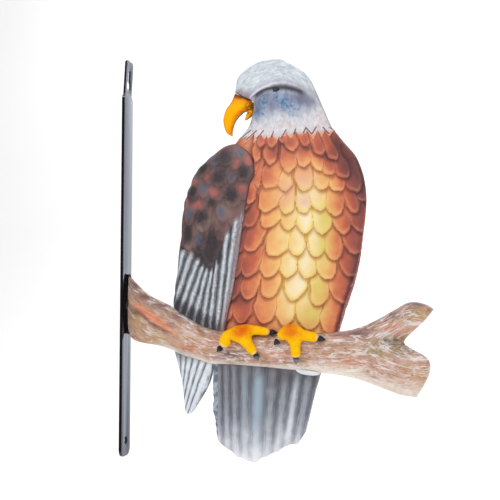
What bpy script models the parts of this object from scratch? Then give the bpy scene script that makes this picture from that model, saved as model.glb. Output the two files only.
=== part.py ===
"""Painted sheet-steel eagle on a forked branch, welded at right angles to a flat wall strap.

X runs out from the wall, Z is up and Y is the depth of the two-sided panel.
The origin lies on the strap's back face, at half its height.
Outlines are in millimetres, as (x, z), and depths are measured out from the mid-plane between the two sides.
"""

import math

import bmesh
import bpy
from mathutils import Matrix, Vector

MM = 0.001

# Driving dimensions, in millimetres
SHEET = 0.8  # thickness of the pressed sheets
SEAM = 0.25  # from the mid-plane to each sheet's inner face at a welded rim
RIM = SEAM + SHEET  # depth of a sheet's outer face at a welded rim
GAP = 0.7  # between the edges of neighbouring sheets
STRAP_WIDTH = 25.0
STRAP_THICK = 3.0
STRAP_BOTTOM = -203.8
STRAP_TOP = 169.0
STRAP_CORNER = 8.0
TAB_WIDTH = 20.0
TAB_THICK = 2.0
TAB_TOP = 203.8
TAB_LEAN = math.radians(3.0)
KEYHOLE_HEAD_Z = 178.0
KEYHOLE_HEAD_R = 5.0
KEYHOLE_SLOT_R = 2.6
KEYHOLE_SLOT_TOP = 194.0
SCREW_HOLE_Z = -188.0
SCREW_HOLE_R = 4.0
BOSS_THICK = 1.5
BOSS_HALF_DEPTH = 11.0
BOSS_HALF_HEIGHT = 30.5
BOSS_Z = -49.6
BRANCH_START = 5.5

# Depth of the crown above the rim, as (z, depth) for the eagle and (x, depth) for the branch
BODY_CROWN = [(-78, 6.5), (-50, 9.5), (0, 13.3), (60, 14.3), (100, 12.6), (120, 11.6), (150, 12.6),
              (170, 11.0), (185, 7.5), (193, 4.0), (197.3, 0.3)]
WING_CROWN = [(-76, 7.0), (-60, 8.8), (-20, 12.2), (30, 15.2), (84, 15.8), (106, 12.8), (112, 9.0)]
BRANCH_CROWN = [(5, 3.6), (20, 9.0), (45, 13.5), (100, 15.5), (180, 15.5), (240, 14.5), (290, 12.5),
                (313, 9.0)]

# Outlines of the eagle, left and right, from bottom to top
BODY_LEFT = [(104, -80), (101, -50), (98, -20), (96, 30), (99, 70), (107, 98), (117, 111.5), (128, 124),
             (134, 131), (134, 137), (134.5, 145), (132, 152), (124, 159.5), (117.3, 164), (118.9, 176.4),
             (123.2, 183.5), (133.8, 191.3), (144, 195.3), (154.8, 197.3)]
BODY_RIGHT = [(221.0, -80), (228, -56), (232.2, -44), (239, -22), (243, -2.4), (245.7, 19), (247.8, 36.5),
              (248.8, 54), (247, 71), (243.8, 83), (238, 96), (226, 110.7), (221.4, 118), (215.3, 125),
              (210.2, 137), (205.2, 149), (200.9, 159.4), (195.9, 170.8), (189.9, 179.5), (181.9, 186.2),
              (172.8, 191.4), (163.2, 196.3), (156, 197.3)]
COLLAR = [(118, 111.5), (133, 109.5), (151, 109.3), (170, 109), (195, 112), (210, 114.5), (221.4, 118)]
CROWN = [(117.3, 164), (118.9, 176.4), (123.2, 183.5), (133.8, 191.3), (144, 195.3), (154.8, 197),
         (163.2, 196.3), (172.8, 191.4), (181.9, 186.2), (189.9, 179.5), (195.9, 170.8)]
NAPE = [(195.9, 170.8), (200.9, 159.4), (205.2, 149), (210.2, 137), (215.3, 125), (221.4, 118)]
FACE = [(117.3, 164), (132.5, 156.8), (138.2, 152.5), (137.6, 143), (134.6, 138), (134, 131), (128.4, 124.6),
        (122, 118), (118, 111.5)]
BEAK_OUTER = [(117.0, 163.6), (113.3, 155.2), (108, 147.9), (105.1, 139.7), (105.1, 132.3), (108, 123.9),
              (113.6, 119.8)]
BEAK_INNER = [(131.6, 156.6), (136.6, 151.8), (135.0, 147.0), (130.2, 145.0), (125.4, 142.9), (118.2, 135.0),
              (115.0, 126.0), (114.4, 120.2)]
BEAK_SWELL = [(0.0, 5.6), (0.45, 4.8), (1.0, 2.4)]  # half thickness from root to tip
JAW_SWELL = [(0.0, 4.0), (1.0, 3.0)]
JAW_LEFT = [(130.6, 144.2), (128.2, 140.2), (127.6, 136.0)]
JAW_RIGHT = [(136.6, 145.6), (135.6, 141.4), (133.4, 138.4)]
EYE = (160.6, 162.6)
EYE_RADII = (3.3, 2.4)

WING_LEFT = [(115.2, 110.3), (106.5, 108.9), (97.1, 102.7), (86.2, 93.9), (76.9, 84), (71, 70.9),
             (66.8, 59.8), (63.7, 46.5), (61.3, 19.1), (57.3, -18.4), (54.8, -38.7), (53.5, -52.0)]
WING_RIGHT = [(127, 106), (134.9, 99.5), (138.4, 91.8), (140, 84.3), (139.6, 76.3), (135.6, 68.9),
              (133.6, 58.6), (129.5, 33.9), (124.5, 2.3), (118.1, -35.1), (113, -54.3), (108.4, -74.2)]
TIP_LEFT = [(56.0, -99.0), (61.5, -118.8), (63.9, -130), (65.4, -145.6), (66.6, -157.6)]
TIP_RIGHT = [(94.6, -110.5), (94.0, -117), (90.6, -129.2), (83.2, -142.9), (74.0, -158.7)]
TIP_END = [(66.6, -157.6), (70.3, -160.2), (74.0, -158.7)]

TAIL_LEFT = [(95.9, -111.2), (93.6, -130.5), (95.8, -143.3), (94.0, -153.2), (98.0, -169.9), (99.4, -182.3)]
TAIL_RIGHT = [(203.3, -118.0), (197.4, -137.1), (192.4, -157.5), (188.3, -173.3)]
TAIL_END = [(99.4, -182.3), (104.8, -189.9), (113.7, -195.5), (120.1, -200.8), (129.1, -204.1),
            (136.7, -206.5), (143.2, -202.6), (150.8, -198.9), (161.6, -193.7), (171, -188),
            (178.9, -186.7), (183.8, -181.8), (188.3, -173.3)]
TAIL_FOLD = 100.0  # x of the step between the tail's side flange and its ribbed face
TAIL_RIBS = 9
COVERT_LEFT = 180.0
COVERT_RIGHT = 203.0
COVERT_DROP = 4.0
COVERT_LIFT = 1.2  # clearance of the pale feather over the tail
TAIL_FACE = (3.6, 4.0)  # depth of the tail's face at its edges, and its crown above that
RIB_HEIGHT = 0.6
TAIL_FALL = [(-206.5, 0.45), (-185, 0.8), (-111, 1.0)]  # share of the depth left towards the end, by z
TIP_CROWN = [(-160.2, 1.6), (-130, 4.2), (-99, 6.2)]
TIP_SPREAD = (0.08, 0.8)  # part of the rounded profile that the wing tip's width takes up
WING_ROUND = (2.4, 0.6)  # shape of the wing's rounded left side
EYE_LIFT = 1.2
EYE_THICK = 0.7
CLAW_TIP_RADIUS = 0.5
CUTTER_LENGTH = 20.0

BRANCH_TOP = [(BRANCH_START, -20.5), (14, -29.3), (29, -41.5), (51, -52), (73, -64), (94, -73), (125, -77.3),
              (170, -78), (220, -76.5), (247, -70), (277, -54), (286, -48.8), (296, -48), (306, -51),
              (312, -55)]
BRANCH_BOTTOM = [(BRANCH_START, -78), (8.5, -84), (13.5, -87.4), (22, -89.4), (40, -92.3), (55.6, -97.7),
                 (67.4, -103), (81.4, -106.4), (98.6, -110.1), (149, -112.9), (182, -115.4), (211, -117.6),
                 (230.5, -120.3), (247, -124.8), (262, -130.2), (280.7, -136.8), (294.5, -138)]
FORK_END = [(312, -55), (302, -66.6), (292.7, -75.3), (284.2, -83.8), (284.2, -88.2), (292.5, -93.5),
            (303, -99.5), (307.4, -106.4), (306.8, -115), (302, -126), (294.5, -138)]
FORK_CROTCH = (283.0, -86.0)
FORK_BLEND = (252.0, 284.0)  # where the one tube of the branch turns into two

# Feet: knuckle, then toes, as (x, z, radius), and each toe's claw as (root, tip)
FEET = {
    "left": {
        "knuckle": (127.0, -77.4, 6.8),
        "toes": [[(119.0, -82.2, 6.2), (112.0, -88.6, 5.4), (107.4, -93.0, 4.2)],
                 [(133.4, -85.8, 5.6), (139.4, -93.6, 4.8), (142.6, -99.2, 3.7)],
                 [(138.4, -76.0, 5.4), (147.4, -76.6, 5.0), (155.4, -77.3, 3.8)]],
        "claws": [((106.4, -93.8), (102.4, -97.2)), ((143.7, -100.6), (144.6, -105.0)),
                  ((156.4, -77.3), (162.4, -77.7))],
    },
    "right": {
        "knuckle": (177.2, -76.4, 6.8),
        "toes": [[(170.2, -81.0, 5.4), (165.0, -84.4, 3.9)],
                 [(179.4, -87.1, 5.8), (180.6, -96.0, 5.2), (180.8, -100.7, 4.2)],
                 [(189.1, -80.3, 5.8), (198.0, -81.9, 5.0), (203.0, -82.7, 3.8)]],
        "claws": [((163.6, -85.6), (160.4, -89.2)), ((180.8, -101.8), (180.8, -107.2)),
                  ((204.0, -82.9), (209.6, -84.0))],
    },
}
FOOT_LIFT = 0.92  # height of a toe's centre line over what it grips, in toe radii
SKIN_FULLNESS = 1.18  # makes up for what smoothing takes off a toe
FOOT_CLEARANCE = 1.1
BREAST_FOOT = -79.0  # below this height there is only the branch under the feet
CLAW_RADIUS = 3.0

STRAP_PAINT = ((0.012, 0.012, 0.015), 0.35, 0.4)
BRANCH_PAINT = ((0.42, 0.29, 0.19), 0.45, 0.1)
BREAST_PAINT = ((0.62, 0.27, 0.12), 0.4, 0.1)
HEAD_PAINT = ((0.62, 0.66, 0.70), 0.4, 0.1)
BEAK_PAINT = ((0.95, 0.42, 0.0), 0.35, 0.0)
WING_PAINT = ((0.14, 0.10, 0.10), 0.4, 0.1)
TAIL_PAINT = ((0.25, 0.27, 0.30), 0.4, 0.1)
PALE_PAINT = ((0.58, 0.60, 0.64), 0.4, 0.1)
FOOT_PAINT = ((1.0, 0.55, 0.0), 0.35, 0.0)
DARK_PAINT = ((0.02, 0.02, 0.025), 0.4, 0.0)

SIDES = {"front": -1, "back": 1}


def interpolate(points, at, key=0, value=1):
    """Straight-line interpolation of points sorted along key, held at both ends."""
    if at <= points[0][key]:
        return points[0][value]
    for a, b in zip(points, points[1:]):
        if at <= b[key]:
            share = (at - a[key]) / (b[key] - a[key])
            return a[value] + share * (b[value] - a[value])
    return points[-1][value]


def smooth(low, high, at):
    """0 below low, 1 above high, and a smooth rise between."""
    share = share_of(low, high, at)
    return share * share * (3 - 2 * share)


def share_of(low, high, at):
    """How far at lies between low and high, from 0 to 1."""
    if high - low < 1e-6:
        return 0.0
    return min(max((at - low) / (high - low), 0.0), 1.0)


def lens(across, power=2.4):
    """Rounded profile of height 1 over a share across from 0 to 1."""
    return math.sqrt(max(0.0, 1 - abs(2 * across - 1) ** power))


def along(points):
    """A function giving the point at a share of a polyline's length."""
    marks = [0.0]
    for a, b in zip(points, points[1:]):
        marks.append(marks[-1] + math.dist(a, b))
    total = marks[-1]

    def at(share):
        table = [(mark / total, *point) for mark, point in zip(marks, points)]
        return Vector((interpolate(table, share, 0, 1), interpolate(table, share, 0, 2)))

    return at


def body_depth(x, z):
    """Outer depth of the eagle's head and trunk."""
    left = interpolate(BODY_LEFT, z, 1, 0)
    right = interpolate(BODY_RIGHT, z, 1, 0)
    across = share_of(left, right, x)
    return RIM + interpolate(BODY_CROWN, z) * lens(across)


def wing_depth(x, z):
    """Outer depth of the folded wing, which stands proud of the trunk along its right edge."""
    left = interpolate(WING_LEFT[::-1], z, 1, 0)
    right = interpolate(WING_RIGHT[::-1], z, 1, 0)
    across = share_of(left, right, x)
    power, fullness = WING_ROUND
    return RIM + interpolate(WING_CROWN, z) * (1 - (1 - across) ** power) ** fullness


def tip_depth(x, z):
    """Outer depth of the wing's tip below the branch."""
    left = interpolate(TIP_LEFT[::-1], z, 1, 0)
    right = interpolate(TIP_RIGHT[::-1], z, 1, 0)
    across = share_of(left, right, x)
    start, spread = TIP_SPREAD
    return RIM + interpolate(TIP_CROWN, z) * lens(start + spread * across)


def tail_depth(x, z):
    """Outer depth of the tail: a flat side flange, a step, and a ribbed, gently crowned face."""
    right = interpolate(TAIL_RIGHT[::-1], z, 1, 0)
    across = share_of(TAIL_FOLD, right, x)
    if x < TAIL_FOLD - 0.2:
        return RIM
    edge_depth, crown = TAIL_FACE
    face = edge_depth + crown * lens(0.1 + 0.9 * across)
    ribs = RIB_HEIGHT * math.cos(2 * math.pi * TAIL_RIBS * across)
    pressed = face * smooth(0.0, 0.02, across) + ribs * smooth(0.0, 0.1, across)
    return RIM + pressed * interpolate(TAIL_FALL, z)


def branch_limits(x):
    return interpolate(BRANCH_BOTTOM, x), interpolate(BRANCH_TOP, x)


def branch_depth(x, z):
    """Outer depth of the branch, which divides into two prongs past the crotch."""
    bottom, top = branch_limits(x)
    height = interpolate(BRANCH_CROWN, x)
    across = share_of(bottom, top, z)
    one = lens(across, 2.2)
    two = one
    if x > FORK_BLEND[0]:
        upper = [p for p in FORK_END if p[1] > FORK_CROTCH[1]][::-1]
        lower = [p for p in FORK_END if FORK_CROTCH[1] > p[1] > -106.5]
        inner_up = interpolate(upper, x)
        inner_down = interpolate(lower, x)
        if z > FORK_CROTCH[1]:
            two = lens(share_of(inner_up, top, z), 2.2)
        else:
            two = lens(share_of(bottom, inner_down, z), 2.2)
    share = smooth(*FORK_BLEND, x)
    blunt = lens(0.5 + 0.5 * smooth(299, 313, x))
    return RIM + height * (one + share * (two - one)) * blunt


def contact(x, depth, upper):
    """Height at which the branch's outer face has a given depth, on its upper or lower side."""
    bottom, top = branch_limits(x)
    share = min(max((depth - RIM) / interpolate(BRANCH_CROWN, x), 0.0), 0.98)
    off = (1 - share * share) ** (1 / 2.2)
    middle = (top + bottom) / 2
    half = (top - bottom) / 2
    return middle + half * off if upper else middle - half * off


def rest_on_branch(depth_at, start, end, upper, steps=12):
    """An edge that follows the branch's rounded face from one x to another."""
    points = []
    for i in range(steps + 1):
        x = start + (end - start) * i / steps
        bottom, top = branch_limits(x)
        z = top if upper else bottom
        for _ in range(4):
            z = contact(x, depth_at(x, z) - SHEET, upper)
        points.append((x, z + GAP if upper else z - GAP))
    return points


def paint(name, colour, roughness, metallic):
    material = bpy.data.materials.new(name)
    material.use_nodes = True
    shader = material.node_tree.nodes["Principled BSDF"]
    shader.inputs["Base Color"].default_value = (*colour, 1.0)
    shader.inputs["Roughness"].default_value = roughness
    shader.inputs["Metallic"].default_value = metallic
    return material


def add_object(name, bm, finish):
    """Puts a bmesh in the scene, in metres, under its own material."""
    bmesh.ops.scale(bm, vec=(MM, MM, MM), verts=bm.verts)
    mesh = bpy.data.meshes.new(name)
    bm.to_mesh(mesh)
    bm.free()
    mesh.materials.append(paint(name + "_paint", *finish))
    obj = bpy.data.objects.new(name, mesh)
    bpy.context.scene.collection.objects.link(obj)
    return obj


def round_over(obj, degrees=35):
    obj.data.shade_smooth()
    obj.data.set_sharp_from_angle(angle=math.radians(degrees))


def crowd(share):
    """Moves evenly spaced shares towards both edges, where a pressed sheet curves most."""
    return 0.5 - 0.5 * math.cos(math.pi * share)


def pressed_sheet(name, side, left, right, top, bottom, depth_at, columns, rows, finish, even=False, shut=False):
    """A sheet stretched between four edge curves, pressed out to its depth and given its thickness.

    A shut sheet also comes down to the seam along its right and bottom edges."""
    bm = bmesh.new()
    bmesh.ops.create_grid(bm, x_segments=columns, y_segments=rows, size=0.5)
    left_at, right_at, top_at, bottom_at = along(left), along(right), along(top), along(bottom)
    for vert in bm.verts:
        u = vert.co.x + 0.5
        v = 0.5 - vert.co.y
        u = u if even else crowd(u)
        ruled = (1 - v) * top_at(u) + v * bottom_at(u) + (1 - u) * left_at(v) + u * right_at(v)
        corners = ((1 - u) * (1 - v) * top_at(0) + u * (1 - v) * top_at(1)
                   + (1 - u) * v * bottom_at(0) + u * v * bottom_at(1))
        x, z = ruled - corners
        depth = RIM if shut and max(u, v) > 0.999 else depth_at(x, z)
        vert.co = (x, side * depth, z)
    if side > 0:
        bmesh.ops.reverse_faces(bm, faces=bm.faces)
    obj = add_object(name, bm, finish)
    wall = obj.modifiers.new("Sheet", "SOLIDIFY")
    wall.thickness = SHEET * MM
    wall.offset = -1
    round_over(obj)
    return obj


def cutter(name, bm):
    obj = add_object(name, bm, DARK_PAINT)
    obj.hide_render = True
    obj.display_type = "WIRE"
    return obj


def bar_through(radius, place):
    """A round cutter along X."""
    bm = bmesh.new()
    bmesh.ops.create_cone(bm, cap_ends=True, segments=24, radius1=radius, radius2=radius, depth=CUTTER_LENGTH,
                          matrix=Matrix.Translation(place) @ Matrix.Rotation(math.pi / 2, 4, "Y"))
    return bm


def block(bm, low, high):
    """A box between two corners, added to a bmesh; returns its vertices."""
    low, high = Vector(low), Vector(high)
    made = bmesh.ops.create_cube(bm, size=1.0)["verts"]
    for vert in made:
        vert.co = (low + high) / 2 + Vector(a * b for a, b in zip(vert.co, high - low))
    return made


def subtract(obj, tool):
    cut = obj.modifiers.new("Cut " + tool.name, "BOOLEAN")
    cut.operation = "DIFFERENCE"
    cut.solver = "EXACT"
    cut.object = tool


def wall_strap():
    """The flat bar that screws to the wall, with its keyhole tab at the top."""
    bm = bmesh.new()
    block(bm, (0, -STRAP_WIDTH / 2, STRAP_BOTTOM), (STRAP_THICK, STRAP_WIDTH / 2, STRAP_TOP))
    corners = [e for e in bm.edges if abs(e.verts[0].co.x - e.verts[1].co.x) > STRAP_THICK / 2]
    bmesh.ops.bevel(bm, geom=corners, offset=STRAP_CORNER, segments=6, profile=0.5, affect="EDGES",
                    material=-1)
    strap = add_object("wall_strap", bm, STRAP_PAINT)

    bm = bmesh.new()
    foot = STRAP_TOP - 4
    made = block(bm, (0.2, -TAB_WIDTH / 2, foot), (0.2 + TAB_THICK, TAB_WIDTH / 2, TAB_TOP))
    lean = Matrix.Rotation(TAB_LEAN, 4, "Y")
    bmesh.ops.rotate(bm, verts=made, cent=(0.2, 0, foot), matrix=lean)
    tab = cutter("tab_joined_to_strap", bm)
    join = strap.modifiers.new("Join tab", "BOOLEAN")
    join.operation = "UNION"
    join.solver = "EXACT"
    join.object = tab

    subtract(strap, cutter("keyhole_head_cut", bar_through(KEYHOLE_HEAD_R, (2, 0, KEYHOLE_HEAD_Z))))
    slot = bar_through(KEYHOLE_SLOT_R, (2, 0, KEYHOLE_SLOT_TOP - KEYHOLE_SLOT_R))
    subtract(strap, cutter("keyhole_slot_end_cut", slot))
    bm = bmesh.new()
    block(bm, (-8, -KEYHOLE_SLOT_R, KEYHOLE_HEAD_Z), (12, KEYHOLE_SLOT_R, KEYHOLE_SLOT_TOP - KEYHOLE_SLOT_R))
    subtract(strap, cutter("keyhole_slot_cut", bm))
    subtract(strap, cutter("screw_hole_cut", bar_through(SCREW_HOLE_R, (2, 0, SCREW_HOLE_Z))))


def end_boss():
    """The oval plate between the strap and the branch."""
    bm = bmesh.new()
    start = STRAP_THICK + 0.3
    made = bmesh.ops.create_circle(bm, cap_ends=True, segments=32, radius=1.0)["verts"]
    place = Matrix.Translation((start, 0, BOSS_Z)) @ Matrix.Rotation(math.pi / 2, 4, "Y")
    bmesh.ops.scale(bm, vec=(BOSS_HALF_HEIGHT, BOSS_HALF_DEPTH, 1), verts=made)
    bmesh.ops.transform(bm, matrix=place, verts=made)
    out = bmesh.ops.extrude_face_region(bm, geom=bm.faces[:])["geom"]
    moved = [g for g in out if isinstance(g, bmesh.types.BMVert)]
    bmesh.ops.translate(bm, vec=(BOSS_THICK, 0, 0), verts=moved)
    bmesh.ops.recalc_face_normals(bm, faces=bm.faces)
    round_over(add_object("end_boss", bm, STRAP_PAINT))


def branch(side, label):
    start = [(BRANCH_START, BRANCH_TOP[0][1]), (BRANCH_START, BRANCH_BOTTOM[0][1])]
    pressed_sheet("branch_" + label, side, start, FORK_END, BRANCH_TOP, BRANCH_BOTTOM, branch_depth, 22, 8,
                  BRANCH_PAINT, even=True, shut=True)


def trunk(side, label):
    top = [(x, z - GAP) for x, z in COLLAR]
    low_left, low_right = 104.0, 221.6
    bottom = rest_on_branch(body_depth, low_left, low_right, True)
    left = [bottom[0]] + [p for p in BODY_LEFT if -70 < p[1] < 108] + [top[0]]
    right = [bottom[-1]] + [p for p in BODY_RIGHT if -70 < p[1] < 114] + [top[-1]]
    pressed_sheet("trunk_" + label, side, left[::-1], right[::-1], top, bottom, body_depth, 12, 13,
                  BREAST_PAINT)


def head(side, label):
    pressed_sheet("head_" + label, side, FACE, NAPE, CROWN, COLLAR, body_depth, 12, 9, HEAD_PAINT)


def beak(name, outer, inner, swell, columns, rows):
    """A closed horn shape between an outer and an inner edge, the same on both sides of the mid-plane."""
    bm = bmesh.new()
    bmesh.ops.create_grid(bm, x_segments=columns, y_segments=rows, size=0.5)
    outer_at, inner_at = along(outer), along(inner)
    for vert in bm.verts:
        u = crowd(vert.co.x + 0.5)
        v = 0.5 - vert.co.y
        x, z = (1 - u) * outer_at(v) + u * inner_at(v)
        rim = min(u, 1 - u, v, 1 - v) < 0.01
        depth = 0.0 if rim else interpolate(swell, v) * lens(u, 4)
        vert.co = (x, -depth, z)
    horn = add_object(name, bm, BEAK_PAINT)
    both = horn.modifiers.new("Both sides", "MIRROR")
    both.use_axis = (False, True, False)
    both.merge_threshold = 0.0001
    round_over(horn, 60)


def eye(side, label):
    bm = bmesh.new()
    made = bmesh.ops.create_uvsphere(bm, u_segments=10, v_segments=5, radius=1.0)["verts"]
    bmesh.ops.scale(bm, vec=(EYE_RADII[0], EYE_THICK, EYE_RADII[1]), verts=made)
    depth = body_depth(*EYE) + EYE_LIFT
    bmesh.ops.translate(bm, vec=(EYE[0], side * depth, EYE[1]), verts=made)
    round_over(add_object("eye_" + label, bm, DARK_PAINT))


def wing(side, label):
    bottom = rest_on_branch(wing_depth, 53.5, 108.4, True)
    left = [p for p in WING_LEFT if p[1] > bottom[0][1] + 4] + [bottom[0]]
    right = [p for p in WING_RIGHT if p[1] > bottom[-1][1] + 4] + [bottom[-1]]
    top = [WING_LEFT[0], (121.5, 109.4), WING_RIGHT[0]]
    pressed_sheet("wing_" + label, side, left, right, top, bottom, wing_depth, 8, 12, WING_PAINT)
    top = rest_on_branch(tip_depth, TIP_LEFT[0][0], TIP_RIGHT[0][0], False)
    left = [top[0]] + TIP_LEFT[1:]
    right = [top[-1]] + TIP_RIGHT[1:]
    pressed_sheet("wing_tip_" + label, side, left, right, top, TIP_END, tip_depth, 5, 7, WING_PAINT)


def tail(side, label):
    top = rest_on_branch(tail_depth, TAIL_LEFT[0][0], TAIL_RIGHT[0][0], False, 18)
    left = [top[0]] + TAIL_LEFT[1:]
    right = [top[-1]] + TAIL_RIGHT[1:]
    pressed_sheet("tail_" + label, side, left, right, top, TAIL_END, tail_depth, 24, 6, TAIL_PAINT, even=True,
                  shut=True)

    def covert_depth(x, z):
        return tail_depth(x, z) + SHEET + COVERT_LIFT

    top = rest_on_branch(covert_depth, COVERT_LEFT, COVERT_RIGHT, False, 8)
    edge = [(x, z - 0.4 - COVERT_DROP * lens(i / 8)) for i, (x, z) in enumerate(top)]
    pressed_sheet("tail_covert_" + label, side, [top[0], edge[0]], [top[-1], edge[-1]], top, edge,
                  covert_depth, 8, 2, PALE_PAINT)


def foot_place(x, z, radius):
    """Depth of a toe's centre line, clear of the branch and the breast under it."""
    reach = [(x + dx, z + dz) for dx in (-radius, 0, radius) for dz in (-radius, 0, radius)]
    under = max(max(branch_depth(*p), body_depth(*p) if p[1] > BREAST_FOOT else 0) for p in reach)
    return under + radius * FOOT_LIFT + FOOT_CLEARANCE


def foot(side, label, name):
    """A knuckle with three toes, grown round a skeleton of edges."""
    spec = FEET[name]
    bm = bmesh.new()
    joints = []

    def joint(x, z, radius):
        joints.append(radius)
        return bm.verts.new((x, side * foot_place(x, z, radius), z))

    centre = joint(*spec["knuckle"])
    for toe in spec["toes"]:
        last = centre
        for place in toe:
            now = joint(*place)
            bm.edges.new((last, now))
            last = now
    obj = add_object("foot_%s_%s" % (name, label), bm, FOOT_PAINT)
    skin = obj.modifiers.new("Toes", "SKIN")
    skin.branch_smoothing = 0.4
    for vertex, radius in zip(obj.data.skin_vertices[0].data, joints):
        vertex.radius = (radius * SKIN_FULLNESS * MM, radius * SKIN_FULLNESS * MM)
    obj.data.skin_vertices[0].data[0].use_root = True
    round_toes = obj.modifiers.new("Round", "SUBSURF")
    round_toes.levels = 1
    round_toes.render_levels = 1

    for number, (root, tip) in enumerate(spec["claws"], 1):
        claw("claw_%s_%d_%s" % (name, number, label), side, root, tip)


def claw(name, side, root, tip):
    bm = bmesh.new()
    root_depth = foot_place(*root, CLAW_RADIUS)
    tip_depth_mm = foot_place(*tip, 2 * CLAW_TIP_RADIUS)
    start = Vector((root[0], side * root_depth, root[1]))
    end = Vector((tip[0], side * tip_depth_mm, tip[1]))
    line = end - start
    turn = line.to_track_quat("Z", "Y").to_matrix().to_4x4()
    bmesh.ops.create_cone(bm, cap_ends=True, segments=10, radius1=CLAW_RADIUS, radius2=CLAW_TIP_RADIUS,
                          depth=line.length, matrix=Matrix.Translation((start + end) / 2) @ turn)
    round_over(add_object(name, bm, DARK_PAINT), 50)


def main():
    for obj in list(bpy.data.objects):
        bpy.data.objects.remove(obj)
    wall_strap()
    end_boss()
    beak("beak_upper", BEAK_OUTER, BEAK_INNER, BEAK_SWELL, 4, 12)
    beak("beak_lower", JAW_LEFT, JAW_RIGHT, JAW_SWELL, 4, 4)
    for label, side in SIDES.items():
        branch(side, label)
        trunk(side, label)
        head(side, label)
        eye(side, label)
        wing(side, label)
        tail(side, label)
        for name in FEET:
            foot(side, label, name)


main()
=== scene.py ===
import math
from functools import partial

import bmesh
import bpy
import numpy as np
from mathutils import Matrix, Vector


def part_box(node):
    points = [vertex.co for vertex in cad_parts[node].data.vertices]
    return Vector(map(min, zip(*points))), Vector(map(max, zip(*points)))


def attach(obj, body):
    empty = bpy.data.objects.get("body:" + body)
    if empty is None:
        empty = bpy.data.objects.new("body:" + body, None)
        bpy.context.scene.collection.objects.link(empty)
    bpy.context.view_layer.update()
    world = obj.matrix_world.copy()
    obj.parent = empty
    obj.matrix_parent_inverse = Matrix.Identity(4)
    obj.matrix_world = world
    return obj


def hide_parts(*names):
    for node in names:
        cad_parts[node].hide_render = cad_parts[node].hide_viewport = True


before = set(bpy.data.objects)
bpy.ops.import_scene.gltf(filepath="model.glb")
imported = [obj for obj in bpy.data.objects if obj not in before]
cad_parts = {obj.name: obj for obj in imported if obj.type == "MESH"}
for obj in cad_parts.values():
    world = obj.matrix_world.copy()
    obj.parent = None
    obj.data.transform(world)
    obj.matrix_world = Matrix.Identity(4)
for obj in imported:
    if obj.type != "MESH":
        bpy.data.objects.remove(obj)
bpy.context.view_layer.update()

bl_info = {
    "name": "Painted Steel Eagle",
    "version": (1, 0, 0),
    "blender": (4, 5, 0),
    "location": "View3D > Sidebar > Eagle",
    "description": "Models and paints a two-sided sheet-steel eagle on a branch and its wall strap",
    "category": "Object",
}

# Outlines and depths are in millimetres: x runs out from the wall, z is up, and a depth is measured
# out from the mid-plane between the two sides.
MM = 0.001
SIDES = {"front": -1, "back": 1}
SHEET = 0.8  # thickness of the pressed sheets
BARK_CELL = 1.12  # size of the branch's faces, as a share of the others'
STRAP_LOW, STRAP_HIGH = (np.array(corner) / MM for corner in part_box("wall_strap"))
BOSS_LOW, BOSS_HIGH = (np.array(corner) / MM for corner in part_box("end_boss"))
BAR_THICKNESS, BAR_CORNER = 3, 8
TAB_THICKNESS, TAB_HALF, TAB_CORNER, TAB_X, TAB_LEAN = 2, 10, 4, 0.2, math.radians(3)
SCREW_RADIUS, KEYHOLE_RADIUS, SLOT_RADIUS = 4.0, 5.0, 2.6
# Heights on the strap: the end of its full width, the tab's foot, the two holes and the keyhole's slot
SHOULDER_Z, TAB_FOOT_Z, SCREW_Z, KEYHOLE_Z, SLOT_Z = 169, 165, -188, 178, 191.4

BODY_CROWN = [(-78, 6.5), (-50, 9.5), (0, 13.3), (60, 14.3), (100, 12.6), (120, 11.6), (150, 12.6),
              (170, 11.0), (185, 7.5), (193, 4.0), (197.3, 0.3)]
WING_CROWN = [(-76, 7.0), (-60, 8.8), (-20, 12.2), (30, 15.2), (84, 15.8), (106, 12.8), (112, 9.0)]
BRANCH_CROWN = [(5, 3.6), (20, 9.0), (45, 13.5), (100, 15.5), (180, 15.5), (240, 14.5), (290, 12.5),
                (313, 9.0)]

BODY_LEFT = [(104, -80), (101, -50), (98, -20), (96, 30), (99, 70), (107, 98), (117, 111.5), (128, 124),
             (134, 131), (134, 137), (134.5, 145), (132, 152), (124, 159.5), (117.3, 164), (118.9, 176.4),
             (123.2, 183.5), (133.8, 191.3), (144, 195.3), (154.8, 197.3)]
BODY_RIGHT = [(221.0, -80), (228, -56), (232.2, -44), (239, -22), (243, -2.4), (245.7, 19), (247.8, 36.5),
              (248.8, 54), (247, 71), (243.8, 83), (238, 96), (226, 110.7), (221.4, 118), (215.3, 125),
              (210.2, 137), (205.2, 149), (200.9, 159.4), (195.9, 170.8), (189.9, 179.5), (181.9, 186.2),
              (172.8, 191.4), (163.2, 196.3), (156, 197.3)]
RIM_FLANGE = [(-80, 2.6), (-50, 2.6), (-20, 2.0), (15, 1.2), (40, 0.5), (60, 0.0)]
CROWN = BODY_LEFT[13:18] + [(154.8, 197)] + BODY_RIGHT[21:16:-1]
NAPE = BODY_RIGHT[17:12:-1] + [(218.5, 121)]
FACE = [(117.3, 164), (127, 158.6), (136.6, 153.4), (137.2, 143), (134.6, 137), (131.5, 129),
        (126.4, 121.6), (122, 117)]
NOTCHES = [(122, 117), (130.9, 118), (139.3, 119.6), (146.5, 118.1), (152.2, 116), (157.9, 117.2),
           (164.6, 115.4), (171.7, 118.7), (181.3, 119), (192.3, 120.2), (202.5, 120.2), (209.4, 120.2),
           (218.5, 121)]
TOOTH_TIPS = [(119.4, 111.3), (129, 109.4), (138.8, 109.4), (149.5, 111.2), (155.4, 108.7), (161.8, 108.5),
              (169, 109.9), (176.6, 112), (189, 112.6), (198.6, 111), (207, 113.2), (214, 114)]
TOOTH_ROOT = 5.0  # how far up the neck a collar feather starts
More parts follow.
